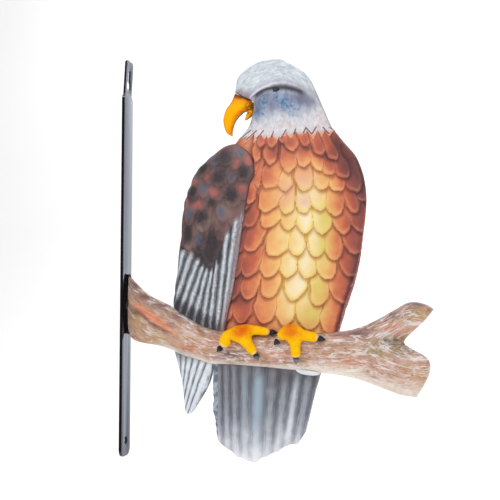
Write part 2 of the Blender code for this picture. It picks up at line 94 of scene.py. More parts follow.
# Fine cuts between the collar's feathers, as pairs of ends. They are not modelled: the paint lays thin lines
# of painted shade along them.
SLITS = [((122.9, 114.8), (135.1, 123.8)), ((131.2, 113.9), (141.4, 122.5)), ((141.9, 114.1), (148.9, 122.1)),
         ((156.5, 114.1), (158.9, 120.2)), ((167.2, 113.6), (171.6, 121.5)), ((179.3, 116.8), (181.3, 122.0)),
         ((188.6, 117.3), (191.3, 122.9)), ((191.3, 122.9), (196.8, 116.4)), ((197.3, 116.4), (201.2, 123.4)),
         ((207.5, 123.1), (213.4, 116.6)), ((213.8, 123.2), (220.2, 120.1))]
BROW = [(131, 153.4), (135.2, 155.9), (140.8, 159.2), (146.9, 162.9), (152.6, 165.0), (159.5, 167.4),
        (166.2, 167.5), (173.4, 166.3), (181.5, 163.3), (189.6, 158.8), (196.7, 153.8), (203, 149)]
# The hollow that arches over and behind the eye, which the paint darkens as painted shade
HOOD = [(136, 155.5), (142, 158.8), (148, 162.2), (154, 164.0), (161, 164.6), (170, 163.8), (177, 162.2),
        (184, 159.8), (190, 156.6), (197, 151.8)]
EYE = (161.3, 162.0)

WING_LEFT = [(115.2, 110.3), (106.5, 108.9), (97.1, 102.7), (86.2, 93.9), (76.9, 84), (71, 70.9),
             (66.8, 59.8), (63.7, 46.5), (61.3, 19.1), (57.3, -18.4), (54.8, -38.7), (53.5, -52.0)]
WING_TOP = [(115.2, 110.3), (121.5, 109.4), (127, 106)]
WING_RIGHT = [(127, 106), (134.9, 99.5), (138.4, 91.8), (140, 84.3), (139.6, 76.3), (135.6, 68.9),
              (133.6, 58.6), (129.5, 33.9), (124.5, 2.3), (118.1, -35.1), (113, -54.3), (108.4, -74.2)]
TIP_LEFT = [(56.0, -99.0), (61.5, -118.8), (63.9, -130), (65.4, -145.6), (66.6, -157.6)]
TIP_RIGHT = [(94.6, -110.5), (94.0, -117), (90.6, -129.2), (83.2, -142.9), (74.0, -157.4)]
TIP_END = [(66.6, -157.6), (70.3, -159.6), (74.0, -157.4)]
TAIL_LEFT = [(95.9, -111.2), (94.6, -130.5), (95.8, -143.3), (95.0, -153.2), (98.0, -169.9), (99.4, -182.3)]
TAIL_RIGHT = [(203.3, -118.0), (197.4, -137.1), (192.4, -157.5), (188.3, -173.3)]
TAIL_END = [(99.4, -182.3), (104.8, -189.9), (113.7, -195.5), (120.1, -200.8), (129.1, -204.1),
            (136.7, -206.2), (143.2, -202.6), (150.8, -198.9), (161.6, -193.7), (171, -188),
            (178.9, -186.7), (183.8, -181.8), (188.3, -173.3)]
TAIL_FOLD = 100.0
BRANCH_START = 5.5
BRANCH_TOP = [(BRANCH_START, -20.5), (14, -29.3), (29, -41.5), (51, -52), (73, -64), (94, -73), (125, -77.3),
              (170, -78), (220, -76.5), (247, -70), (277, -54), (286, -48.8), (296, -48), (306, -51),
              (311.6, -55)]
BRANCH_BOTTOM = [(BRANCH_START, -78), (8.5, -84), (13.5, -87.4), (22, -89.4), (40, -92.3), (55.6, -97.7),
                 (67.4, -103), (81.4, -106.4), (98.6, -110.1), (149, -112.9), (182, -115.4), (211, -117.6),
                 (230.5, -120.3), (247, -124.8), (262, -130.2), (280.7, -136.8), (294.5, -138)]
PRONG_INNER = [(311.6, -55), (302, -66.6), (292.7, -75.3), (284.2, -83.8)]
PRONG_LOWER = [(284.2, -88.2), (292.5, -93.5), (303, -99.5), (307.4, -106.4)]
PRONG_END = [(307.4, -106.4), (306.8, -115), (302, -126), (294.5, -138)]
CROTCH_Z = -86.0
FORK_BLEND = (252.0, 284.0)
BEAK_OUTER = [(117.0, 163.6), (113.3, 155.2), (108, 147.9), (105.1, 139.7), (105.1, 132.3), (108, 123.9),
              (113.6, 119.6)]
BEAK_INNER = [(132.0, 156.6), (136.8, 152.2), (136.6, 147.2), (130.6, 144.8), (125.4, 142.9), (118.2, 135.0),
              (115.0, 126.0), (114.6, 119.9)]
JAW_LEFT = [(130.4, 145.4), (128.2, 140.2), (127.4, 136.4), (128.0, 135.2)]
JAW_RIGHT = [(137.0, 147.4), (136.6, 141.8), (133.6, 138.8), (129.2, 135.4)]

# Feathers pressed into the breast, upper rows first: (tip x, tip z, width, lean in degrees)
BREAST_SCALES = [
    [(158.4, 103.7, 9.1, -8), (168.6, 108.5, 8.0, -10), (179.6, 100.0, 11.4, -18), (193.0, 103.5, 9.5, -20),
     (207.5, 95.0, 11.0, -22), (221.0, 90.0, 9.5, -26), (145.5, 105.0, 8.0, 8)],
    [(155.6, 87.6, 13.2, 2), (175.2, 78.8, 14.6, -3), (190.2, 83.8, 13.4, -6), (205.8, 79.8, 13.8, -12),
     (216.5, 74.6, 12.4, -16), (231.1, 72.1, 11.4, -24), (141.3, 90.8, 8.5, 5)],
    [(151.3, 63.7, 19.7, 26), (171.2, 59.6, 12.5, 0), (190.5, 59.9, 16.5, -3), (207.2, 60.2, 15.1, 0),
     (224.7, 58.6, 15.4, -15), (241.1, 58.5, 14, -18), (134.2, 48.5, 9.4, 12), (140.2, 76.8, 7.1, 5),
     (140.2, 62.8, 8.5, 10)],
    [(148.4, 41.1, 19.9, 28), (172.4, 37.7, 12.8, 2), (190.1, 38.6, 13.1, -3), (205.7, 40.6, 18.2, -10),
     (220.4, 35.3, 17.7, -4), (239.4, 38.3, 11.7, -18), (246.8, 49.1, 11.4, -20),
     (127.1, 41.7, 12.8, 16)],
    [(150.6, 25.1, 18.8, 26), (173.8, 22.6, 16, 5), (190.8, 18.5, 14.5, -2), (206.5, 17.7, 17.1, 3),
     (229, 17.8, 15.4, -14), (244.2, 19.8, 14.8, -12), (132.1, 25.3, 14, 20), (119.2, 21.7, 13.7, 22)],
    [(155.6, -2.5, 21.4, 30), (183.4, -3.2, 16.5, -6), (200.9, -4, 16.2, 3), (220.4, -7.1, 16.2, -12),
     (239, -2.1, 21.4, -4), (132.8, 2.1, 17.1, 26), (115.9, -0.5, 16.5, 26)],
    [(151.6, -23.3, 20.8, 16), (173, -24.1, 16, 2), (191.9, -24.8, 18, 4), (212.9, -26.3, 18.5, -10),
     (234, -24, 20.8, 0), (129.9, -23, 17.7, 24), (113.9, -24.3, 15.7, 24)],
    [(152.7, -43.9, 18.2, 12), (177, -45.9, 20.8, 12), (202.6, -51.8, 16.2, 3), (225.4, -49.4, 24.2, 0),
     (130.6, -45.4, 16, 16), (112.2, -46.6, 16.5, 16)],
    [(147, -69.4, 20.8, 12), (168.7, -71.3, 17.7, 4), (192.6, -75.6, 22.2, 0), (210.4, -78.4, 19.9, 16),
     (122.8, -69.6, 18.5, 14), (105.7, -68.8, 17.1, 12)],
]
# Feathers on the upper wing: (tip x, tip z, width)
WING_SCALES = [
    [(126, 94, 12), (110, 86, 19), (134, 86, 13), (121, 82, 11), (98, 87, 12), (90, 90, 11)],
    [(86, 77, 14), (103, 66, 18), (129, 71, 16), (117, 69, 11), (93, 70, 12)],
    [(75, 55, 12), (87, 56, 11), (101, 52, 15), (118, 46, 18), (129, 52, 13), (78, 66, 11)],
    [(96, 44, 12), (82, 39, 15), (108, 31, 13), (71, 29, 11), (86, 22, 15), (121, 26, 12)],
    [(69, 4, 13), (83, 0, 14), (97, -13, 24), (106, 12, 13)],
]
# Airbrushed spots on the wing: (x, z, half width, half height)
WING_SPRAY = {
    "charcoal": [(108.9, 93.5, 11, 13), (102.5, 75.2, 11, 9), (128.9, 79.4, 9, 9), (116.4, 58, 11, 11),
                 (85.3, 87, 9, 9), (75, 62.2, 7.5, 10), (97, 50.4, 6.5, 5.5), (84.6, 37.4, 9.5, 9),
                 (69.6, 21.6, 7.5, 13), (96.6, 10.5, 14, 19), (92, -6, 8, 9), (64, 4, 3, 9), (82, 2, 7, 7)],
    "slate": [(124.6, 100.1, 4, 4), (98.7, 93.8, 4.5, 5.5), (116.8, 75, 4, 4), (87.8, 65.5, 4, 5),
              (107.1, 41.1, 4.5, 6), (71.5, 41.5, 4, 6), (82.6, 14.8, 5, 7), (77, 80, 3.5, 4)],
    "rose": [(122, 88.8, 3.5, 5), (91.6, 78.8, 4, 5), (99.3, 62.4, 5, 5), (126.6, 63.6, 5.5, 5),
             (80.5, 49.4, 5.5, 5), (75.4, 73.8, 4, 4), (134.4, 91, 4, 6), (67, 54, 3, 5)],
    "tan": [(83.8, 25, 9, 5), (67, 8, 7, 4), (87.8, -9.7, 8, 5), (95.5, 32.1, 8, 6), (100, 84, 8, 3),
            (112, 48, 6, 10), (77, 2, 5, 6)],
}
# Crests of the long feathers, as (top, foot)
WING_CRESTS = [((65.0, 3.0), (57.0, -22.0)), ((74.8, 2.5), (57.9, -41.3)), ((80.6, -9.0), (63.9, -50.5)),
               ((85.6, -15.9), (71.2, -54.0)), ((90.4, -18.6), (79.2, -58.1)),
               ((95.6, -19.4), (87.0, -62.4)), ((100.6, -14.1), (94.2, -66.6)),
               ((112.3, 16.0), (101.4, -66.6)), ((121.4, 31.4), (106.8, -70.8)),
               ((126.7, 4.4), (113.0, -66.0))]
TIP_CRESTS = [((59.4, -101.8), (60.4, -116.8)), ((65.6, -103.3), (63.4, -126.6)),
              ((71.9, -103.8), (64.3, -139.5)), ((78.6, -105.8), (65.4, -151.3)),
              ((85.4, -107.4), (68.0, -156.5)), ((92.1, -109.4), (72.0, -157.6))]
TAIL_CRESTS = [((102.6, -111.7), (101.8, -186)), ((109.6, -111.6), (110.9, -194)),
               ((117.9, -112.6), (119.4, -200)), ((128.3, -112.4), (128.6, -204)),
               ((142.5, -113.2), (139.0, -206)), ((157.4, -114.0), (150.4, -201)),
               ((169.8, -115.9), (160.2, -195)), ((181.2, -118.9), (170.0, -190)),
               ((192.2, -121.8), (179.9, -187)), ((202.3, -123.7), (188.6, -181))]

# The long salmon streak on the branch: its two ends
SAP = ((12.0, -47.5), (60.0, -80.5))

# Spots on the breast, the head and the branch: (x, z, half width, half height). The shade spots and the
# head's plum spots are painted shade; the others are airbrushed colours.
BREAST_SPRAY = {
    "shade": [(176, 108, 16, 9), (192, 104, 14, 8), (162, 98, 5, 6), (205, 96, 10, 8)],
    "green": [(210, 33, 8, 13), (208, 4, 7, 16), (203, -34, 8, 17), (196, -60, 12, 10)],
    "blush": [(190, 72, 12, 12), (172, 60, 10, 14), (190, 50, 8, 8)],
}
HEAD_SPRAY = {
    "shade": [(146, 150, 11, 11), (160, 153, 15, 12), (175, 151, 14, 11), (188, 149, 10, 9),
              (142, 141, 7, 8)],
    "blue": [(149, 150.5, 5, 5), (166, 152, 6, 6), (173.5, 145, 6, 8), (147, 139.6, 4, 4), (160, 157, 6, 4),
             (170, 148, 5, 5), (181, 139, 5, 4)],
    "salmon": [(154, 122, 12, 5), (176, 126, 10, 6), (200, 126, 10, 5), (210, 128, 8, 6), (188, 121, 12, 4),
               (138, 121, 8, 3), (204, 134, 8, 5)],
    "plum": [(184, 153, 8, 5), (196, 149, 6, 7), (150, 157, 6, 3), (158, 147, 3, 8)],
    "mauve": [(122, 163, 7, 3.4), (131, 158.2, 7, 3.4)],
}
# Spots where the bark is smoother, under the feet and the wing
SMOOTH_BARK = [(130, -84, 34, 24), (178, -86, 36, 24), (82, -62, 34, 14), (150, -78, 80, 6)]
BRANCH_SPRAY = {
    "frost": [(290, -62, 12, 8), (271, -80, 14, 8), (272, -108, 12, 6), (294, -120, 14, 6),
              (262, -124, 26, 6), (286, -136, 16, 6)],
    "mauve": [(12, -30, 8, 6), (26, -42, 12, 4), (44, -51, 14, 3), (66, -62, 12, 3), (268, -60, 14, 3),
              (298, -50, 12, 3), (20, -58, 14, 4), (44, -72, 12, 3), (118, -99, 14, 5), (240, -78, 16, 5)],
    "teal": [(280, -90, 8, 6), (268, -86, 12, 7), (256, -94, 10, 6), (286, -95, 8, 3)],
    "ochre": [(14, -62, 9, 16), (262, -92, 14, 8), (298, -60, 12, 8), (300, -122, 6, 16), (40, -84, 16, 6)],
    "rust": [(284, -124, 26, 5), (304, -118, 7, 9), (292, -74, 12, 7), (110, -88, 20, 8), (160, -98, 14, 5),
             (232, -106, 20, 7), (272, -76, 14, 8), (20, -84, 14, 4), (76, -92, 16, 6)],
}

# Feet: knuckle, dome and toes as (x, z, radius), and claws as (root, tip)
FEET = {
    "left": {
        "knuckle": (128.0, -77.2, 5.6),
        "dome": (130.0, -73.4, 4.8),
        "toes": [[(118.4, -79.8, 5.6), (113.2, -80.6, 5.2), (113.2, -86.0, 5.8), (109.3, -91.2, 4.7)],
                 [(132.6, -85.6, 4.7), (138.4, -93.0, 4.3), (142.0, -98.6, 3.5)],
                 [(137.4, -74.8, 4.7), (147.4, -76.2, 3.9), (155.4, -77.3, 3.5)]],
        "claws": [((107.4, -92.6), (103.4, -96.4)), ((143.0, -99.4), (144.4, -104.6)),
                  ((155.9, -77.3), (162.4, -77.7))],
    },
    "right": {
        "knuckle": (178.0, -77.0, 6.8),
        "dome": (175.4, -69.6, 5.6),
        "toes": [[(169.4, -78.4, 5.2), (164.4, -83.0, 4.2)],
                 [(181.2, -88.0, 4.4), (181.9, -95.6, 4.4), (182.2, -101.4, 4.3)],
                 [(188.9, -79.6, 5.0), (198.0, -81.4, 4.5), (203.2, -82.2, 3.8)]],
        "claws": [((164.1, -85.2), (160.4, -89.2)), ((182.1, -101.8), (181.6, -107.4)),
                  ((203.7, -82.5), (209.8, -84.0))],
    },
}

# Where the wing's scales give way to its long feathers: x, and the height there
BLADES_TOP = [53, 69, 83, 90, 97, 104, 110, 118, 124, 130], [8, 3, -4, -10, -14, 2, 16, 28, 36, 46]

# Where the breast, the wing and the pale feather stand on the branch: x at the left and the right
TRUNK_STANDS, WING_STANDS, COVERT_STANDS = (104.0, 221.6), (53.5, 108.4), (180.0, 203.0)
COVERT_GAP = 1.6  # how far the pale feather lies over the tail
# Share of a toe's radius that its skin fills, and how far the toe clears the branch
TOE_SKIN, TOE_GAP = 0.92, 1.1
PUPIL_SIZE = (3.3, 0.9, 2.6)  # half sizes
# Weld beads at the end plate, as (x, z, half sizes), and under the wing, as (x, z)
END_WELDS = [(5.6, -21.5, (1.6, 2.6, 2.2)), (6.0, -78.5, (1.8, 2.8, 2.4)), (5.4, -50, (1.0, 9.0, 6.0))]
WING_WELDS = [(73.5, -58.8), (77.0, -60.2), (80.5, -61.6), (84.5, -62.8)]

# The studio is in metres. Each lamp has its place, its target, its size and its power
LAMPS = {
    "key": ((-0.35, -1.3, 1.15), (0.15, 0.0, 0.0), 1.1, 12),
    "fill": ((1.5, -1.1, 0.3), (0.15, 0.0, 0.0), 1.4, 4.5),
    "back": ((0.2, 1.3, 1.6), (0.15, 2.0, 0.0), 2.0, 30),
}
FLOOR_LEFT, FLOOR_WIDTH, FLOOR_FRONT, FLOOR_Z = -3.5, 7.3, -2.2, -0.45
BACKDROP_Y, BACKDROP_TOP, COVE = 2.3, 3.0, 0.7
VIEW_TARGET, VIEW_DISTANCE, VIEW_LENS = Vector((0.1325, 0.0, 0.0041)), 0.8548, 61.55
VIEW_AROUND, VIEW_UP = math.radians(12.415), math.radians(-3.727)


# ---------------------------------------------------------------- curves and surfaces


def curve(points, steps=10):
    """A smooth line through given points, as an array of (x, z)."""
    p = np.array(points, float)
    if len(p) < 3:
        return np.linspace(p[0], p[-1], steps + 1)
    p = np.vstack([2 * p[0] - p[1], p, 2 * p[-1] - p[-2]])
    t = np.linspace(0, 1, steps, endpoint=False)[:, None]
    runs = [0.5 * (2 * b + (c - a) * t + (2 * a - 5 * b + 4 * c - d) * t**2 + (3 * b - a - 3 * c + d) * t**3)
            for a, b, c, d in zip(p, p[1:], p[2:], p[3:])]
    return np.vstack(runs + [p[-2:-1]])


def length_of(line):
    return float(np.hypot(*np.diff(line, axis=0).T).sum())


def at_shares(line, shares):
    """Points at shares of a line's length."""
    marks = np.concatenate([[0], np.cumsum(np.hypot(*np.diff(line, axis=0).T))])
    return np.stack([np.interp(shares * marks[-1], marks, line[:, i]) for i in (0, 1)], axis=-1)


def read(points, at, key=0, value=1):
    """One coordinate of a smooth line at a value of the other."""
    line = curve(points)
    line = line[np.argsort(line[:, key])]
    return np.interp(at, line[:, key], line[:, value])


def share_of(low, high, at):
    """How far at lies from low to high, from 0 to 1. low may be the greater."""
    span = np.where(np.abs(high - low) < 1e-6, 1e-6, high - low)
    return np.clip((at - low) / span, 0, 1)


def smooth(low, high, at):
    share = share_of(low, high, at)
    return share * share * (3 - 2 * share)


def lens(across, power=2.4):
    """Rounded profile of height 1 over a share across from 0 to 1."""
    return np.sqrt(np.clip(1 - np.abs(2 * across - 1) ** power, 0, 1))


def ripple(x, z, size, seed):
    """Gentle unevenness between about -1 and 1, of a given size in millimetres."""
    rng = np.random.default_rng(seed)
    total = np.zeros_like(x)
    for _ in range(7):
        angle = rng.uniform(0, 2 * math.pi)
        wave = 2 * math.pi / (size * rng.uniform(0.7, 1.8))
        total += np.sin(wave * (x * math.cos(angle) + z * math.sin(angle)) + rng.uniform(0, 2 * math.pi))
    return total / 3.5


def patch(left, right, top, bottom, u, v):
    """Points of the surface stretched between four edge lines, at shares u across and v down."""
    U, V = u[:, None], v[:, None]
    ruled = ((1 - V) * at_shares(top, u) + V * at_shares(bottom, u)
             + (1 - U) * at_shares(left, v) + U * at_shares(right, v))
    corners = ((1 - U) * (1 - V) * top[0] + U * (1 - V) * top[-1]
               + (1 - U) * V * bottom[0] + U * V * bottom[-1])
    return ruled - corners


def places(mesh):
    flat = np.empty(len(mesh.vertices) * 3)
    mesh.vertices.foreach_get("co", flat)
    return flat.reshape(-1, 3)


def write_places(mesh, points):
    mesh.vertices.foreach_set("co", np.ascontiguousarray(points, float).ravel())
    mesh.update()


def mark(mesh, name, columns):
    """Stores up to three numbers per point for the paint to read."""
    values = np.zeros((len(mesh.vertices), 3))
    for i, column in enumerate(columns):
        values[:, i] = column
    made = mesh.attributes.new(name, "FLOAT_VECTOR", "POINT")
    made.data.foreach_set("vector", values.ravel())

def of_kind(geom, kind):
    """Only the points, or only the faces, of what a bmesh operator returned."""
    return [item for item in geom if isinstance(item, kind)]


def mesh_of(name, bm, sharp=None, unit=MM):
    """A smooth mesh from a finished bmesh. Edges past an angle in degrees stay sharp."""
    bmesh.ops.scale(bm, vec=(unit, unit, unit), verts=bm.verts)
    mesh = bpy.data.meshes.new(name)
    bm.to_mesh(mesh)
    bm.free()
    mesh.shade_smooth()
    if sharp:
        mesh.set_sharp_from_angle(angle=math.radians(sharp))
    return mesh


def pressed_sheet(side, edges, cell, press, ease=0.35):
    """A fine closed sheet stretched between its edges (left, right, top, bottom) and pressed to its depth.

    press(x, z, u, v) gives each point's outer depth and the marks that its paint reads."""
    left, right, top, bottom = edges
    columns = max(2, round(max(length_of(top), length_of(bottom)) / cell))
    rows = max(2, round(max(length_of(left), length_of(right)) / cell))
    bm = bmesh.new()
    bmesh.ops.create_grid(bm, x_segments=columns, y_segments=rows, size=0.5)
    bmesh.ops.solidify(bm, geom=bm.faces[:], thickness=0.1)
    bmesh.ops.recalc_face_normals(bm, faces=bm.faces)
    if side > 0:
        bmesh.ops.reverse_faces(bm, faces=bm.faces)
    mesh = mesh_of("sheet", bm, unit=1)
    flat = places(mesh)
    outer = flat[:, 2] > flat[:, 2].mean()
    u, v = flat[:, 0] + 0.5, 0.5 - flat[:, 1]
    u = (1 - ease) * u + ease * (0.5 - 0.5 * np.cos(math.pi * u))
    x, z = patch(left, right, top, bottom, u, v).T
    depth, marks = press(x, z, u, v)
    depth = np.where(outer, depth, np.maximum(depth - SHEET, 0.02))
    write_places(mesh, np.stack([x, side * depth, z], axis=1) * MM)
    return mesh, marks


def joined(name, sheets):
    """One mesh from several sheets, with their marks written to its points."""
    bm = bmesh.new()
    for mesh, _ in sheets:
        bm.from_mesh(mesh)
    whole = mesh_of(name, bm, sharp=60, unit=1)
    for key in sheets[0][1]:
        columns = [np.stack([np.broadcast_to(column, len(mesh.vertices)) for column in marks[key]])
                   for mesh, marks in sheets]
        mark(whole, key, np.hstack(columns))
    for mesh, _ in sheets:
        bpy.data.meshes.remove(mesh)
    return whole


def place_piece(mesh, paint, *nodes, slot=None):
    """Puts a finished mesh in the scene, riding on the frame in place of its CAD nodes."""
    mesh.materials.clear()
    mesh.materials.append(painted(paint))
    piece = bpy.data.objects.new(mesh.name, mesh)
    bpy.context.scene.collection.objects.link(piece)
    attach(piece, "root")
    if nodes:
        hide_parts(*nodes)


def place_sheets(name, node, label, paint, *sheets, slot=None):
    """Joins one side's sheets to a piece that stands in for that side's CAD node."""
    place_piece(joined(name + "_" + label, sheets), paint, node + "_" + label, slot=slot)


# ---------------------------------------------------------------- depths of the pressed sheets


def body_limits(z):
    return read(BODY_LEFT, z, 1, 0), read(BODY_RIGHT, z, 1, 0)


def body_depth(x, z):
    left, right = body_limits(z)
    inner = right - read(RIM_FLANGE, z) * (1 + 0.25 * ripple(x * 0, z, 9, 5))
    return SHEET + read(BODY_CROWN, z) * lens(share_of(left, inner, x))


def wing_base(x, z):
    left, right = read(WING_LEFT, z, 1, 0), read(WING_RIGHT, z, 1, 0)
    across = share_of(left, right, x)
    return SHEET + read(WING_CROWN, z) * (1 - (1 - across) ** 2.4) ** 0.6


def tip_base(x, z):
    across = share_of(read(TIP_LEFT, z, 1, 0), read(TIP_RIGHT, z, 1, 0), x)
    return SHEET + np.interp(z, [-160.2, -130, -99], [1.6, 4.2, 6.2]) * lens(0.08 + 0.8 * across)


def closing(gap, reach):
    """How far a pressed half stands off the seam at a distance from its edge: rounded, 0 at the edge."""
    return lens(0.5 + 0.5 * np.clip(1 - gap / reach, 0, 1))


def tail_base(x, z):
    right = read(TAIL_RIGHT, z, 1, 0)
    across = share_of(TAIL_FOLD, right, x)
    shut = closing(np.minimum(right - x, z - read(TAIL_END, x)), 4.0)
    fall = np.interp(z, [-206.5, -185, -111], [0.45, 0.8, 1.0])
    step = smooth(0.0, 1.6, x - TAIL_FOLD)
    return SHEET + (3.6 + 4.0 * lens(0.1 + 0.9 * across)) * step * fall * shut


def branch_base(x, z):
    """Depth of the branch, which divides into two prongs past the crotch."""
    bottom, top = read(BRANCH_BOTTOM, x), read(BRANCH_TOP, x)
    one = lens(share_of(bottom, top, z), 2.2)
    upper = lens(share_of(read(PRONG_INNER, x), top, z), 2.2)
    lower = lens(share_of(bottom, read(PRONG_LOWER, x), z), 2.2)
    two = np.where(z > CROTCH_Z, upper, lower)
    share = smooth(*FORK_BLEND, x)
    blunt = lens(0.5 + 0.5 * smooth(299, 313.4, x))
    shut = closing(near_lines(x, z, list(zip(PRONG_END, PRONG_END[1:]))), 3.0)
    return SHEET + read(BRANCH_CROWN, x) * (one + share * (two - one)) * blunt * shut


def contact(x, depth, upper):
    """Height at which the branch's face has a given depth, on its upper or lower side."""
    bottom, top = read(BRANCH_BOTTOM, x), read(BRANCH_TOP, x)
    share = np.clip((depth - SHEET) / read(BRANCH_CROWN, x), 0, 0.98)
    off = (1 - share**2) ** (1 / 2.2) * (top - bottom) / 2
    return (top + bottom) / 2 + (off if upper else -off)


def rest_on_branch(depth_at, start, end, upper, gap=0.1):
    """An edge that follows the branch's rounded face from one x to another."""
    x = np.linspace(start, end, 60)
    z = read(BRANCH_TOP if upper else BRANCH_BOTTOM, x)
    for _ in range(5):
        z = contact(x, depth_at(x, z) - SHEET, upper)
    return np.stack([x, z + (gap if upper else -gap)], axis=1)


def inset(u, v, left, right, top, bottom):
    """0 along a sheet's edges and 1 inside, after a share of the sheet's size at each edge."""
    return smooth(0, left, u) * smooth(0, right, 1 - u) * smooth(0, top, v) * smooth(0, bottom, 1 - v)


# ---------------------------------------------------------------- feathers


def lay_scales(x, z, rows, reach=34.0, roundness=1.0, power=1.8, drop=1.7):
    """Overlapping feathers, upper rows on top, as marks for each point.

    inside: distance from its own feather's edge; shadow: distance from the edge of the feather that lies
    over it; along: share of the way from tip to root; cast: how far the point lies in the shade that falls
    straight down from a feather; which: the feather's number."""

    def feather(tip_x, tip_z, width, lean, raised=0.0):
        """Distance inside a feather's edge, and the share of the way up it."""
        turn = math.radians(lean)
        half, tip = 1.14 * width / 2, width * roundness
        dx, dz = x - tip_x, z + raised - tip_z
        up = dx * math.sin(turn) + dz * math.cos(turn)
        off = dx * math.cos(turn) - dz * math.sin(turn)
        past = np.clip(tip - up, 0, None) / tip
        edge = (1 - (np.abs(off / half) ** power + past**power) ** (1 / power)) * half
        return np.where(up > reach, -20, edge), up / reach

    inside, shadow, along = np.full(x.shape, -1.0), np.full(x.shape, 20.0), np.ones(x.shape)
    cast, which = np.full(x.shape, -20.0), np.full(x.shape, -1)
    number = 0
    for row in rows:
        edges, ups = np.array([feather(*spec) for spec in row]).transpose(1, 0, 2)
        above = np.max([feather(*spec, drop)[0] for spec in row], axis=0)
        order = np.argsort(-edges, axis=0)
        edge, second = np.take_along_axis(edges, order[:2], 0)
        free = which < 0
        own = free & (edge > 0)
        inside[own] = (edge - np.clip(second, 0, None))[own]
        along[own] = np.take_along_axis(ups, order[:1], 0)[0][own]
        which[own] = number + order[0][own]
        still = free & ~own
        shadow[still] = np.minimum(shadow[still], -edge[still])
        cast[still] = np.maximum(cast[still], above[still])
        number += len(row)
    return inside, shadow, along, np.clip(cast, -6, 3), which


def scale_relief(inside, shadow, along, lift, round_by=1.8):
    """Height of a feather: low at its root, high at its tip, with a rounded edge and a groove beside it."""
    rim = np.clip(inside / round_by, 0, 1)
    high = lift * (1 - 0.85 * np.clip(along, 0, 1)) * (1 - (1 - rim) ** 2) ** 0.5
    groove = 0.5 * lift * np.exp(-np.clip(shadow, 0, None) / 1.0)
    return np.where(inside > 0, high, 0) - groove


def lay_crests(x, z, crests):
    """Long feathers fanned about their crests: place from crest (0) to groove (1), share down, and a flow
    across them that starts afresh at each feather."""
    gaps, downs = [], []
    for (top_x, top_z), (foot_x, foot_z) in crests:
        run_x, run_z = foot_x - top_x, foot_z - top_z
        size = math.hypot(run_x, run_z)
        dx, dz = x - top_x, z - top_z
        gaps.append(np.abs(dx * run_z - dz * run_x) / size)
        downs.append((dx * run_x + dz * run_z) / size / size)
    order = np.argsort(gaps, axis=0)
    near, next_near = np.take_along_axis(np.array(gaps), order[:2], 0)
    down = np.take_along_axis(np.array(downs), order[:1], 0)[0]
    crest = np.clip(2 * near / (near + next_near + 1e-6), 0, 1)
    return crest, down, crest * 4 + order[0] * 17


def sprayed(x, z, spots):
    """Soft airbrushed cover from 0 to 1: each spot is (x, z, half width, half height)."""
    bare = np.ones_like(x)
    for spot_x, spot_z, wide, tall in spots:
        bare *= 1 - np.exp(-(((x - spot_x) / wide) ** 2 + ((z - spot_z) / tall) ** 2))
    return 1 - bare


def to_line(x, z, start, end):
    """Distance to a straight line, and the share along it."""
    run_x, run_z = end[0] - start[0], end[1] - start[1]
    share = np.clip(((x - start[0]) * run_x + (z - start[1]) * run_z) / (run_x**2 + run_z**2), 0, 1)
    return np.hypot(x - start[0] - share * run_x, z - start[1] - share * run_z), share


def near_lines(x, z, lines):
    """Distance to the nearest of several straight lines."""
    return np.min([to_line(x, z, start, end)[0] for start, end in lines], axis=0)


def nearest_share(x, z, runs):
    """Distance to the nearest of several lines (start, end, low, high), and how far from low to high."""
    distance, share = np.full(x.shape, 1e3), np.zeros(x.shape)
    for start, end, low, high in runs:
        away, along = to_line(x, z, start, end)
        closer = away < distance
        distance[closer] = away[closer]
        share[closer] = (low + along * (high - low))[closer]
    return distance, share


def beside(x, z, points):
    """Signed distance to a line running left to right: above is positive. Also the share along it."""
    line = curve(points, 6)
    shares = np.linspace(0, 1, len(line))
    distance, share = nearest_share(x, z, zip(line, line[1:], shares, shares[1:]))
    return np.where(z > read(points, x), distance, -distance), share


# ---------------------------------------------------------------- paint


def srgb(code):
    """Linear colour from a screen colour's six hexadecimal digits."""
    shares = [level / 255 for level in bytes.fromhex(code)]
    return [s / 12.92 if s <= 0.04045 else ((s + 0.055) / 1.055) ** 2.4 for s in shares]


class Level:
    """A number or colour that varies over a painted surface. Sums with it add nodes to the paint."""

    def __init__(self, paint, socket):
        self.paint, self.socket = paint, socket

    def __add__(self, other):
        return self.paint.math("ADD", self, other)

    def __mul__(self, other):
        return self.paint.math("MULTIPLY", self, other)

    def __truediv__(self, other):
        return self.paint.math("DIVIDE", self, other)

    def span(self, low, high, start=0.0, end=1.0):
        """Carries low..high to start..end, smoothly and held at both ends."""
        inputs = {"Value": self, "From Min": low, "From Max": high, "To Min": start, "To Max": end}
        return self.paint.level("ShaderNodeMapRange", inputs, interpolation_type="SMOOTHSTEP")

    def sway(self, start, end):
        """Carries the usual range of a noise to start..end."""
        return self.span(0.3, 0.7, start, end)


